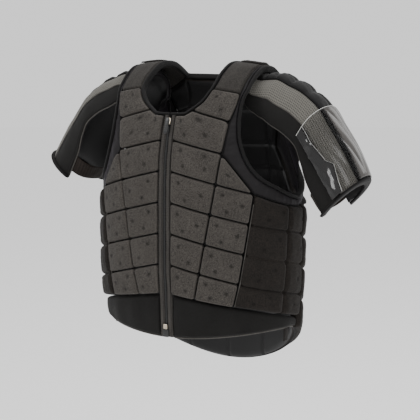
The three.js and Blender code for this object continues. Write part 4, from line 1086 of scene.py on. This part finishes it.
SLIDER = dict(z=ZIP_BINDING_Z - 5 - 13 / 2, depth=ZIP_DEPTH - 0.6, size=(9.6, 12.6), thickness=3.6)
PULLER = dict(z=ZIP_BINDING_Z - 5 - 15, depth=SLIDER["depth"] - 5.1, size=(7.6, 29), thickness=2.2)
RIB = dict(count=6, low=9, pitch=3.2, proud=2.1, size=(6.2, 1.3), thickness=0.7)
plate("zip_slider_body", SLIDER["z"], SLIDER["depth"], rounded_box(*SLIDER["size"], 2, 0.8),
      SLIDER["thickness"], METAL, "zip_metal", ["zip_slider"])
plate("zip_puller_body", PULLER["z"], PULLER["depth"], rounded_box(*PULLER["size"], 2.4, 0.82),
      PULLER["thickness"], TEETH, "zip_teeth", ["zip_puller"])
for number in range(RIB["count"]):
    plate(f"puller_rib_{number + 1}", PULLER["z"] - RIB["low"] + number * RIB["pitch"],
          PULLER["depth"] - RIB["proud"], rounded_box(*RIB["size"], 0.5), RIB["thickness"],
          TEETH, "zip_teeth", bevel=0.2)
plate("zip_stop_body", ZIP_LOW + 20, ZIP_DEPTH - 0.4, rounded_box(8, 9, 1.5), 3.0, METAL, "zip_metal")
plate("zip_end_box", ZIP_LOW + 8, ZIP_DEPTH - 0.2, rounded_box(12, 14, 1.5), 2.6, TEETH, "zip_teeth")


# Hem band, side panels and back
SIDE_END = float(girth_length(SIDE_PANEL_END))


def yoke_spot(u, v):
    length = lerp(ZIP_EDGE + SEAM_GAP, SIDE_END, u)
    high = row_line(np.zeros_like(u), length) - GROOVE / 2
    return np.stack([length, lerp(hem_line(length), high, v)], -1)


patch("hem_yoke", yoke_spot, np.linspace(0, 1, 130), np.linspace(0, 1, 30),
      lambda u, v: YOKE_DEPTH - 2.2 * np.sin(math.pi * v) ** 0.7, WALL, [YOKE, LINING], "yoke_fabric",
      radius=5, wrinkle=0.9, scale=55, fill=0.6)
HEM_LENGTHS = np.linspace(ZIP_EDGE + SEAM_GAP, SIDE_END, 150)


def hem_path(lengths, lift, depth):
    return below(np.stack([lengths, hem_line(lengths) + lift], -1), depth)


cord("hem_front", hem_path(HEM_LENGTHS, -0.6, YOKE_DEPTH + 5), 1.5, PIPING, "binding_tape")
stitches("hem_front", hem_path(HEM_LENGTHS, 6, YOKE_DEPTH - 0.6), DARK_THREAD, "yoke_fabric")
YOKE_TOP = np.stack([HEM_LENGTHS, row_line(np.zeros(len(HEM_LENGTHS)), HEM_LENGTHS) - 7], -1)
stitches("yoke_top", below(YOKE_TOP, YOKE_DEPTH - 0.8), DARK_THREAD, "yoke_fabric")

BLOCK_STATIONS = np.arange(SIDE_CORNER, ARMPIT + 4)
BLOCK_LINE = np.array([blocks_loop(float(at)) for at in BLOCK_STATIONS])


def blocks_height(length):
    return np.interp(length, BLOCK_LINE[:, 0], BLOCK_LINE[:, 1])


SIDE_ROWS = SEAM_OUTER["rows"]
SIDE_START = girth_length(44.6)
SEAM_SHARE = float((girth_length(SIDE_SEAM) - SIDE_START) / (SIDE_END - SIDE_START))
GROOVE_DEPTH = 8.0
GROOVE_RADIUS = 8.5


def side_spot(u, v):
    start = girth_length(lerp(SEAM_OUTER["low"], SEAM_OUTER["high"], v / SIDE_ROWS)) + GROOVE / 2
    length = lerp(start, SIDE_END, u)
    low = row_line(np.minimum(v, SIDE_ROWS - 1), length) + GROOVE / 2 * np.clip(1 - v, 0, 1)
    high = blocks_height(length) - 1.2
    return np.stack([length, lerp(low, high, np.maximum(0, v - SIDE_ROWS + 1))], -1)


def quilted(across, up):
    """How far into a groove a place is, from its distance to the nearest lines both ways"""
    a = np.clip(1 - across / GROOVE_RADIUS, 0, 1)
    b = np.clip(1 - up / GROOVE_RADIUS, 0, 1)
    return np.minimum(np.sqrt(a * a + b * b), 1)


def quilt(name, spot, us, vs, seams, pitch, sides, inner=2.5, vents=()):
    """A quilted panel: grooves lie along the seams and between rows, and vents are small holes"""
    u, v = crossed(us, vs)
    where = spot(u, v)
    flat = surface(where[..., 0], where[..., 1])
    gone = running(flat, 0)
    lines = np.array(seams, float)
    at_line = np.array([[np.interp(line, us, gone[:, j]) for j in range(len(vs))] for line in lines])
    across = np.min(np.abs(gone[None] - at_line[:, None, :]), axis=0)
    up = np.abs(v - np.round(v)) * pitch
    rho = quilted(across, up)
    crown = 1.6 * (1 - rho) * np.sin(math.pi * (v - np.floor(v)))
    slack = foam_slack(flat, QUILT_SLACK, name)
    depth = GROOVE_DEPTH * roll(rho) - crown + slack * (1 - rho ** 2)
    hole = np.zeros(u.shape)
    for cu, cv in vents:
        reach = gone - np.interp(cu, us, gone[:, len(vs) // 2])
        far = np.hypot(reach, (v - cv) * pitch) / VENT["radius"]
        hole = np.maximum(hole, vent_hole(far))
    depth = depth + VENT["depth"] * hole
    inside = WALL - inner * roll(rho)
    # Marks for painted light: a painted highlight along the crowns' edges and painted shade in the vents
    marks = {"edge": painted_highlight_rim(rho), "vent_shade": hole * 0.5}
    return solid(name, below(where, depth), below(where, inside), where, [SIDE, LINING], "side_fabric",
                 sides, marks=marks, fill=QUILT_FILL)


ROW_VENTS = [(0.22, 0.3), (0.42, 0.7), (0.85, 0.5)]
SIDE_VENTS = [(share, row + up) for row in range(4) for share, up in ROW_VENTS]
quilt("side_panel", side_spot, np.linspace(0, 1, 84), np.linspace(0, SIDE_ROWS, 130), [0, SEAM_SHARE, 1],
      ROW_PITCH, BOTH, vents=SIDE_VENTS)

BACK_START = SIDE_END + SEAM_GAP
STRAP_OUTER_BACK = ARMHOLE_TURN - STRAP_END
LAST_STEP = ARMHOLE[ARMPIT]["blocks"] - ARMHOLE[ARMPIT - 1]["blocks"]
BACK_LOOP_START = ARMPIT + (SIDE_PANEL_END - 90) / LAST_STEP
BACK_HALF = BACK_ROWS / 2
BACK_STATIONS = [BACK_LOOP_START, ARMHOLE_TURN - 7, ARMHOLE_TURN - NOTCH, ARMHOLE_TURN - CHEST_CORNER,
                 STRAP_OUTER_BACK]
NAPE_SEAM = neck_seam(lerp(NAPE_START, NAPE_START + NAPE_ROWS - 0.02, np.linspace(0, 1, 7)))
BACK_TOP = np.concatenate([[blocks_loop(float(STRAP_OUTER_BACK))], NAPE_SEAM])
BACK_SEAM_LENGTH = float(girth_length(BACK_SEAM))


def back_top(length):
    folded = np.where(length > HALF_GIRTH, 2 * HALF_GIRTH - length, length)
    return np.interp(folded, BACK_TOP[:, 0], BACK_TOP[:, 1])


def back_side(v):
    low = np.stack([np.full_like(v, BACK_START), lerp(
        hem_line(BACK_START), blocks_height(BACK_START) - 1.2, np.clip(v / BACK_HALF, 0, 1))], -1)
    at = np.interp(v - BACK_HALF, np.arange(len(BACK_STATIONS)), BACK_STATIONS)
    high = blocks_loop(at) + [1.2, -0.6]
    return np.where((v <= BACK_HALF)[..., None], low, high)


def back_spot(u, v):
    start = back_side(v)
    side = np.minimum(u, BACK_COLUMNS - u)
    near = np.where(side < 1, lerp(start[..., 0], BACK_SEAM_LENGTH, side),
                    lerp(BACK_SEAM_LENGTH, HALF_GIRTH, side - 1))
    at = np.where(u <= BACK_COLUMNS / 2, near, 2 * HALF_GIRTH - near)
    drop = hem_line(at) - hem_line(BACK_START)
    rise = back_top(at) - 1.2 - back_side(np.array([float(BACK_ROWS)]))[0, 1]
    low = (1 - v / BACK_ROWS) ** 2
    high = (v / BACK_ROWS) ** 4
    return np.stack([at, start[..., 1] + drop * low + np.maximum(rise, -1) * high], -1)


quilt("back_panel", back_spot, np.linspace(0, BACK_COLUMNS, 150), np.linspace(0, BACK_ROWS, 170),
      range(BACK_COLUMNS + 1), 60, None, inner=4)
BACK_LENGTHS = np.linspace(BACK_START, 2 * HALF_GIRTH - BACK_START, 260)
cord("hem_back", hem_path(BACK_LENGTHS, -0.4, 12), 1.5, TAPE, "binding_tape", sides=None)

# Light piping beside the darker side panels
PIPING_ROWS = np.linspace(0.02, SIDE_ROWS - 0.3, 120)
PIPING_SPOTS = side_spot(np.full(120, 0.004), PIPING_ROWS)
cord("side_seam", below(PIPING_SPOTS, 5.5), 1.0, PIPING, "binding_tape")

# Padding and binding round the armholes and the neck
RING = np.arange(0, ARMHOLE_TURN, 0.08)


def ring_spot(at, v):
    outer = sideways(blocks_loop, at, 0.0001)
    inner = sideways(edge_loop, at, -(ARMHOLE_BINDING_WIDTH + SEAM_GAP))
    return between(outer, inner, 0.03 + 0.97 * v)


def padding_top(at, v):
    """The armhole padding's outer face, slightly gathered"""
    gathers = np.sin(at * 7.1) * 0.5 + np.sin(at * 17.3 + 2 * v) * 0.35 + np.sin(at * 3.7 + 1) * 0.6
    return RING_DEPTH + 0.4 + gathers * np.sin(math.pi * v) - 1.6 * np.sin(math.pi * v) ** 0.8


def padding_bottom(_, v):
    """The padding's inner face, which is deepest beside the blocks"""
    return RING_DEPTH + RING_THICKNESS + 4 * np.clip(1 - 4 * v, 0, 1)


patch("armhole_pad", ring_spot, RING, np.linspace(0, 1, 20), padding_top, padding_bottom, SMOOTH,
      "smooth_fabric", ring=True, radius=3, wrinkle=0.5, scale=24, fill=0.5)
rolled("armhole_binding", sideways(edge_loop, RING, -ARMHOLE_BINDING_WIDTH), edge_loop(RING), BINDING_PROUD,
       RING_DEPTH + RING_THICKNESS + 1, TAPE, "binding_tape", ring=True)
WHOLE_RING = np.append(RING, ARMHOLE_TURN)
STITCHED = sideways(edge_loop, WHOLE_RING, -ARMHOLE_BINDING_WIDTH - 2.4)
stitches("armhole_edge", below(STITCHED, RING_DEPTH - 0.2), DARK_THREAD, "smooth_fabric")
BESIDE_BLOCKS = sideways(blocks_loop, RING, 1.2)
cord("armhole_seam", below(BESIDE_BLOCKS, 6.2), 0.9, TAPE, "binding_tape", ring=True)
cord("armhole_backing", below(BESIDE_BLOCKS, 11.0), 2.9, TAPE, "binding_tape", ring=True)
NECK_LAST = NAPE_START + NAPE_ROWS
NECK_AT = np.linspace(0.04, NECK_LAST - 0.01, 160)
NECK_HALF = [sideways(neck_place, NECK_AT, -NECK_BINDING_WIDTH), neck_place(NECK_AT)]
NECK_BOTH = [
    np.concatenate([half, (half[:-1] * [-1, 1] + [2 * HALF_GIRTH, 0])[::-1]]) for half in NECK_HALF]
rolled("neck_binding", NECK_BOTH[0], NECK_BOTH[1], BINDING_PROUD, STRAP_DEPTH + STRAP_THICKNESS, TAPE,
       "binding_tape", sides=None)


# Webbing tabs under the hem
def tab_spot(u, v):
    length = girth_length(TAB["girth"]) + (u - 0.5) * TAB["width"]
    return np.stack([length, hem_line(length) - SEAM_GAP - (1 - v) * TAB["length"]], -1)


patch("hem_tab", tab_spot, np.linspace(0, 1, 12), np.linspace(0, 1, 24), TAB["depth"],
      TAB["depth"] + TAB["thickness"], STRAP, "strap_fabric", radius=0.9, wrinkle=0.5, scale=26)
TAB_ACROSS = np.linspace(0.08, 0.92, 20)
for number, v in enumerate((0.12, 0.2, 0.86)):
    path = below(tab_spot(TAB_ACROSS, np.full(len(TAB_ACROSS), v)), TAB["depth"] - 0.2)
    stitches(f"tab_end_{number + 1}", path, THREAD, "strap_fabric")

# Shoulder protectors
SLEEVE_END = len(SLEEVE_SECTIONS) - 1
ridge_x = curve_through(SLEEVE_SECTIONS, "x")
ridge_z = curve_through(SLEEVE_SECTIONS, "z")
wide_at = curve_through(SLEEVE_SECTIONS, "wide")
high_at = curve_through(SLEEVE_SECTIONS, "high")
lean_at = curve_through(SLEEVE_SECTIONS, "lean")
front_edge = curve_through(SLEEVE_SECTIONS, "front")
SLEEVE_FRONT = SLEEVE_SECTIONS[0]["front"]
SHELL_TOP = PAD_THICKNESS + LAYER_GAP
SHELL_BOTTOM = SHELL_TOP + SHELL_THICKNESS
COVER_TOP = PAD_THICKNESS - COVER_THICKNESS


def stretched(degrees, at):
    beyond = np.maximum(0, degrees - MESH_FRONT)
    return degrees + beyond * (front_edge(at) - SLEEVE_FRONT) / (SLEEVE_FRONT - MESH_FRONT)


def sleeve_point(row, at, degrees, depth, flatness=1.0):
    """A point of the left-hand shape: from the neck out to the hem, and degrees round from the ridge"""
    z = ridge_z(at)
    tilt = np.radians(lean_at(at) * row["lean"])
    high = high_at(at) * SLEEVE_RADIUS
    wide = wide_at(at) * SLEEVE_RADIUS
    angle = np.radians(degrees + row["turn"])
    rise = (high - depth) * np.cos(angle) * flatness - high
    return np.stack([
        ridge_x(at) * row["reach"] + np.sin(tilt) * rise,
        -(wide - depth) * np.sin(angle),
        z * SLEEVE_DROP + row["lift"] * np.maximum(0, -z) + np.cos(tilt) * rise], -1)


def sleeve_piece(name, row, degrees, rows, top, bottom, material, slot, edge=stretched, radius=2.0,
                 keep=0.45, flatness=None, rows_at=None, wrinkle=0.3, scale=28.0, marks=None,
                 replaced=True, **more):
    """A cloth layer of a shoulder protector with rolled edges and slight wrinkles"""
    u, v = crossed(degrees, rows)
    v = v if rows_at is None else rows_at(u, v)
    round_ = edge(u, v)
    flat = 1.0 if flatness is None else flatness(u)
    top = np.broadcast_to(top(u, v) if callable(top) else float(top), u.shape)
    bottom = np.broadcast_to(bottom(u, v) if callable(bottom) else float(bottom), u.shape)
    base = sleeve_point(row, v, round_, top, flat)
    rho = rim(base, radius)
    fall = roll(rho) * (bottom - top) * keep
    bend = ripple(base, wrinkle, scale, 3) * (1 - rho ** 2)
    outer = sleeve_point(row, v, round_, top + fall + bend, flat)
    inner = sleeve_point(row, v, round_, bottom - fall * 0.6, flat)
    uv = np.stack([running(base, 0), running(base, 1)], -1).reshape(-1, 2)
    points = np.concatenate([outer.reshape(-1, 3), inner.reshape(-1, 3)]) * [row["sign"], 1, 1]
    faces = slab_faces(*u.shape)
    if row["sign"] < 0:
        faces = [face[::-1] for face in faces]
    every = {}
    for key, value in {"edge": rho ** 2, **(marks or {})}.items():
        every[key] = np.concatenate([np.broadcast_to(value, u.shape).ravel()] * 2)
    materials = material if isinstance(material, (list, tuple)) else [material]
    nodes = [f"{name}_{row['side']}"] if replaced else ()
    inner_from = u.size if len(materials) > 1 else None
    return mesh_piece(f"{name}_{row['side']}_cloth", points, faces, materials, slot, nodes,
                      np.concatenate([uv] * 2), every, inner_from=inner_from, **more)


def sleeve_cord(name, row, degrees, rows, depth, radius, material, slot="binding_tape"):
    path = sleeve_point(row, rows, degrees, depth) * [row["sign"], 1, 1]
    return cord(f"{name}_{row['side']}", path, radius, material, slot, sides=None)


def sleeve_stitches(name, row, degrees, rows, depth, material, slot):
    path = sleeve_point(row, rows, degrees, depth) * [row["sign"], 1, 1]
    return stitches(f"{name}_{row['side']}", path, material, slot, sides=None)


LUMP = dict(columns=4, per_section=0.82, width=34, length=26, channel=8, sink=4.6, crown=1.6)


def to_channel(count, size):
    """1 in the sewn channel between two lumps, 0 away from it"""
    return np.clip(1 - np.abs(count - np.round(count)) * size / LUMP["channel"], 0, 1)


def pads(u, v):
    """Depth of the quilted padding: rows of separate lumps with a sewn channel between them"""
    a = to_channel((u - PAD_BACK) / (MESH_BACK - PAD_BACK) * LUMP["columns"], LUMP["width"])
    b = to_channel(v * LUMP["per_section"], LUMP["length"])
    rho = np.minimum(np.hypot(a, b), 1)
    return LUMP["sink"] * roll(rho) - LUMP["crown"] * (1 - rho)


MESH_CROWN = 0.7


def mesh_top(u, _):
    """Depth of the air mesh, which is a little fuller in its middle"""
    share = np.clip((u - MESH_BACK) / (MESH_FRONT - MESH_BACK), 0, 1)
    return COVER_TOP - MESH_CROWN * np.sin(math.pi * share)


GUSSET = dict(thickness=1.2, sag=7.0, count=24)


def gusset(row, shell_side, hole_side):
    """Thin stretch cloth between the protector's back edge and the armhole, sagging in its middle"""
    share = np.linspace(0, 1, GUSSET["count"])[None, :, None]
    face = lerp(shell_side[:, None], hole_side[:, None], share)
    face = face + np.array([0, -1.0, -0.4]) * GUSSET["sag"] * np.sin(math.pi * share)
    face = face + ripple(face, 0.9, 26, 31)[..., None] * [0, 1, 0] * np.sin(math.pi * share)
    along, across = np.gradient(face, axis=0), np.gradient(face, axis=1)
    normal = np.cross(along, across)
    normal /= np.linalg.norm(normal, axis=-1, keepdims=True)
    inner = face - normal * GUSSET["thickness"]
    uv = np.stack([running(face, 0), running(face, 1)], -1)
    points = np.concatenate([face.reshape(-1, 3), inner.reshape(-1, 3)]) * [row["sign"], 1, 1]
    faces = slab_faces(*face.shape[:2])
    if row["sign"] < 0:
        faces = [corner[::-1] for corner in faces]
    piece = mesh_piece(f"armhole_gusset_{row['side']}", points, faces, [SMOOTH], "smooth_fabric",
                       uv=np.concatenate([uv.reshape(-1, 2)] * 2))


def hem_step(row):
    """Millimetres along the ridge of one row at the hem"""
    out = (ridge_x(SLEEVE_END) - ridge_x(SLEEVE_END - 1)) * row["reach"]
    down = (ridge_z(SLEEVE_END) - ridge_z(SLEEVE_END - 1)) * (SLEEVE_DROP - row["lift"])
    return math.hypot(out, down)


def strap_round(share, at):
    """Degrees round the arm of the elastic strap, which leads from the front edge on to the back edge"""
    return lerp(front_edge(at) + SLEEVE_SEAM, 360 + SLEEVE_BACK - SLEEVE_SEAM, share)


def strap_flat(share):
    return 1 - (1 - ARM_STRAP["flatness"]) * np.sin(math.pi * share)


HALF_SEAM = SLEEVE_SEAM / 2
AROUND = dict(
    sleeve_shell=np.linspace(SLEEVE_BACK, SLEEVE_FRONT, 100),
    sleeve_pad=np.linspace(PAD_BACK, MESH_BACK - HALF_SEAM, 92),
    sleeve_mesh=np.linspace(MESH_BACK + HALF_SEAM, MESH_FRONT - HALF_SEAM, 60),
    sleeve_band=np.linspace(MESH_FRONT + HALF_SEAM, SLEEVE_FRONT - HALF_SEAM, 34),
    sleeve_hem=np.linspace(SLEEVE_BACK, SLEEVE_FRONT, 130),
    arm_strap=np.linspace(0, 1, 90),
)


def add_piece(name, row, rows, top, bottom, material, slot, **more):
    sleeve_piece(name, row, AROUND[name], rows, top, bottom, material, slot, **more)


for row in SLEEVE_SIDES:
    last = hem_step(row)
    hem_start = SLEEVE_END - HEM_BINDING_WIDTH / last
    rows = np.linspace(0, hem_start, 92)
    hem_rows = np.linspace(hem_start + SEAM_GAP / last, SLEEVE_END, 10)
    add_piece("sleeve_shell", row, rows, SHELL_TOP, SHELL_BOTTOM, [SMOOTH, LINING], "smooth_fabric",
              radius=3, wrinkle=0.5, fill=0.6)
    add_piece("sleeve_pad", row, rows, pads, PAD_THICKNESS, PAD, "pad_fabric",
              radius=3, wrinkle=0.35, scale=18, fill=0.85)
    add_piece("sleeve_mesh", row, rows, mesh_top, PAD_THICKNESS, MESH, "mesh_fabric",
              radius=1.6, wrinkle=0.5, scale=40, fill=0.4)
    add_piece("sleeve_band", row, rows, COVER_TOP, PAD_THICKNESS, BAND, "smooth_fabric",
              radius=1.6, wrinkle=0.5, scale=34, fill=0.4)
    add_piece("sleeve_hem", row, hem_rows, -1, SHELL_BOTTOM + 1, TAPE, "binding_tape",
              radius=3.0, keep=0.3, wrinkle=0.2)
    sleeve_cord("mesh_seam", row, np.full(len(rows), float(MESH_FRONT)), rows, COVER_TOP + 0.2, 0.9, PIPING)
    sleeve_cord("pad_seam", row, np.full(len(rows), float(MESH_BACK)), rows, 3.4, 0.8, TAPE)
    sleeve_cord("front_edge", row, front_edge(rows) + 0.6, rows, PAD_THICKNESS + 0.4, 1.2, PIPING)
    sleeve_cord("back_edge", row, np.full(len(rows), SLEEVE_BACK - 0.5), rows, SHELL_TOP + 3, 1.2, TAPE)
    for name, degrees in (("band_upper", MESH_FRONT + 3.0), ("band_lower", SLEEVE_FRONT - 4.0)):
        line = stretched(np.full(len(rows), degrees), rows)
        sleeve_stitches(name, row, line, rows, COVER_TOP - 0.2, DARK_THREAD, "smooth_fabric")

    # Elastic strap under the arm
    strap_rows = [hem_start - (ARM_STRAP["hem_gap"] + up) / last for up in (ARM_STRAP["width"], 0)]
    add_piece("arm_strap", row, np.linspace(*strap_rows, 22), SHELL_TOP + 1,
              SHELL_TOP + 1 + ARM_STRAP["thickness"], ELASTIC, "strap_fabric", edge=strap_round, radius=1.2,
              flatness=strap_flat, wrinkle=0.6, scale=30)

    # Stretch gusset that closes the gap between the shell's back edge and the armhole
    steps = np.linspace(0, 1, 60)
    shell_side = sleeve_point(row, lerp(0.3, 7.0, steps), SLEEVE_BACK, SHELL_TOP + 3)
    hole_side = below(edge_loop(lerp(ARMHOLE_TURN - 2.0, ARMHOLE_TURN - 8.5, steps)), 13.0)
    gusset(row, shell_side, hole_side)

# Clear pocket over the left shoulder protector, with the creases of film that has been folded
ROW = SLEEVE_SIDES[0]
LAST = hem_step(ROW)
HEM_START = SLEEVE_END - HEM_BINDING_WIDTH / LAST
FILM = 0.5
FILM_LIFT = 2.0
CREASE = dict(height=2.1, slant=5.2, lean=1.7, wave=1.1)
CARD = dict(top=1.7, bottom=1.2, highlight_line=1.9)
POCKET_LAG = 16
PUCKERS = [dict(round=0.93, down=0.33), dict(round=0.96, down=0.62), dict(round=0.91, down=0.78),
           dict(round=0.95, down=0.9)]
PUCKER = dict(height=3.2, round=0.036, down=0.075)
CARD_EDGE = [dict(down=0.0, round=0.9), dict(down=0.35, round=0.9), dict(down=0.68, round=0.86),
             dict(down=0.76, round=0.8), dict(down=0.9, round=0.84), dict(down=1.0, round=0.86)]


def card_inner(down):
    """The inner edge of the dark card behind the film, as a share of the way round the pocket"""
    return np.interp(down, [row["down"] for row in CARD_EDGE], [row["round"] for row in CARD_EDGE])


def pocket_round(u):
    return (u - POCKET["back"]) / (POCKET["front"] - POCKET["back"])


def pocket_start(u):
    """The pocket's upper edge, which slopes down towards the back"""
    return POCKET["start"] + POCKET_LAG / LAST * smooth((0.9 - pocket_round(u)) / 0.5)


def pocket_rows(u, down):
    return lerp(pocket_start(u), HEM_START, down)


def pocket_down(u, v):
    return (v - pocket_start(u)) / (HEM_START - pocket_start(u))


def film_clear(u, v):
    """How far the film stands off the protector, with slanting creases and puckers by its front edge"""
    round_, down = pocket_round(u), pocket_down(u, v)
    puff = np.clip(np.sin(math.pi * round_) * np.sin(math.pi * down), 0, 1)
    slant = round_ * CREASE["slant"] + down * CREASE["lean"]
    crease = CREASE["height"] * np.abs(np.sin(slant * math.pi)) ** 0.7
    crease = crease + CREASE["wave"] * np.sin(7 * down + 5 * round_)
    clear = LAYER_GAP + FILM_LIFT + (POCKET["bulge"] - 4.0) * puff ** 0.6 + crease * puff ** 0.4
    for row in PUCKERS:
        beside = (round_ - row["round"]) / PUCKER["round"]
        under = (down - row["down"]) / PUCKER["down"]
        clear = clear + PUCKER["height"] * np.exp(-(beside ** 2 + under ** 2))
    return clear


def haze_and_reflection_at(u):
    """The film is milky round the outside of the arm and clear over the mesh: partly its own haze, partly a
    painted reflection of the studio
    """
    return smooth((MESH_BACK + 2 - u) / 7)


def cover_at(u, down):
    """The film hides most where it is milky, with its haze and painted reflection, and where its shine lies
    over the dark card
    """
    over_card = smooth((pocket_round(u) - card_inner(down)) / 0.02)
    return 0.12 + 0.8 * np.maximum(haze_and_reflection_at(u), over_card)


def card_round(share, v):
    """Degrees round the sleeve of the dark card, from its inner edge to the pocket's front edge"""
    down = (v - POCKET["start"]) / (HEM_START - POCKET["start"])
    return lerp(POCKET["back"], POCKET["front"], lerp(card_inner(down), 0.99, share))


POCKET_U = np.linspace(POCKET["back"], POCKET["front"], 120)
POCKET_V = np.linspace(0, 1, 72)
POCKET_GRID = crossed(POCKET_U, POCKET_V)
POCKET_MARKS = {"haze_and_reflection": haze_and_reflection_at(POCKET_GRID[0]), "cover": cover_at(*POCKET_GRID)}
film = sleeve_piece("clear_pocket", ROW, POCKET_U, POCKET_V, lambda u, v: -film_clear(u, v) - FILM,
                    lambda u, v: -film_clear(u, v), VINYL, "clear_film", edge=lambda u, v: u, radius=0.6,
                    rows_at=pocket_rows, wrinkle=0.0, marks=POCKET_MARKS)
FILM_FACE = sleeve_point(ROW, pocket_rows(*POCKET_GRID), POCKET_GRID[0], -LAYER_GAP - FILM_LIFT)
# Painted highlights: pale cords along the pocket's top edge and along the card's inner edge, where the
# film's edges catch the light
sleeve_cord("pocket_edge_highlight", ROW, POCKET_U, pocket_start(POCKET_U), -3.1, 0.35, FILM_EDGE_HIGHLIGHT, "clear_film")
CARD_V = np.linspace(POCKET["start"] + 0.02, HEM_START - 0.01, 60)
sleeve_piece("pocket_card", ROW, np.linspace(0, 1, 20), CARD_V, -LAYER_GAP - CARD["top"],
             -LAYER_GAP - CARD["bottom"], PAD, "pad_fabric", edge=card_round, radius=0.5, wrinkle=0.0,
             replaced=False)
sleeve_cord("card_edge_highlight", ROW, card_round(0.0, CARD_V), CARD_V, -LAYER_GAP - CARD["highlight_line"], 0.5, FILM_EDGE_HIGHLIGHT,
            "clear_film")

# Studio
camera = bpy.data.objects.new("camera", bpy.data.cameras.new("camera"))
bpy.context.scene.collection.objects.link(camera)
AZIMUTH = math.radians(30)
ELEVATION = math.radians(7)
DISTANCE = 2.5
LENS = 115.8
LENS_SHIFT = 0.019
TARGET = Vector((0, 0, -0.254))
flat = math.cos(ELEVATION)
aim = Vector((math.sin(AZIMUTH) * flat, -math.cos(AZIMUTH) * flat, math.sin(ELEVATION)))
camera.location = TARGET + aim * DISTANCE
camera.rotation_euler = (-aim).to_track_quat("-Z", "Y").to_euler()
camera.data.lens = LENS
camera.data.shift_x = LENS_SHIFT
bpy.context.scene.camera = camera

FLOOR_Z = -0.95
floor_mesh = bpy.data.meshes.new("floor")
SEGMENTS = 96
FLOOR_RADIUS = 14.0
turns = [2 * math.pi * i / SEGMENTS for i in range(SEGMENTS)]
corners = [(FLOOR_RADIUS * math.cos(turn), FLOOR_RADIUS * math.sin(turn), FLOOR_Z) for turn in turns]
floor_mesh.from_pydata(corners, [], [tuple(range(SEGMENTS))])
paper, paper_tree, paper_shader = shader_of("pale_paper", Roughness=0.9)
speck = node(paper_tree, "TexNoise", {"Vector": on_object(paper_tree), "Scale": 40.0}).outputs["Fac"]
shade = mixed(paper_tree, speck, linear((250, 250, 250)), linear((254, 254, 254)))
colour_with(paper_tree, paper_shader, shade)
floor_mesh.materials.append(paper)
floor = bpy.data.objects.new("floor", floor_mesh)
bpy.context.scene.collection.objects.link(floor)

world = bpy.data.worlds.new("studio")
bpy.context.scene.world = world
world.use_nodes = True
sky = world.node_tree.nodes["Background"].inputs
sky["Color"].default_value = (1, 1, 1, 1)
sky["Strength"].default_value = 1.1

LIGHTS = [
    dict(name="key", place=(-1.4, -2.0, 2.2), size=0.9, power=34),
    dict(name="fill", place=(2.2, -1.4, 0.8), size=0.7, power=16),
    dict(name="top", place=(0.3, -0.2, 2.2), size=1.0, power=22),
    dict(name="back", place=(1.6, 2.2, 1.3), size=1.4, power=14),
]
for entry in LIGHTS:
    lamp = bpy.data.lights.new(entry["name"], "AREA")
    lamp.size = entry["size"]
    lamp.energy = entry["power"]
    holder = bpy.data.objects.new(entry["name"], lamp)
    holder.location = entry["place"]
    holder.rotation_euler = (TARGET - Vector(entry["place"])).to_track_quat("-Z", "Y").to_euler()
    bpy.context.scene.collection.objects.link(holder)
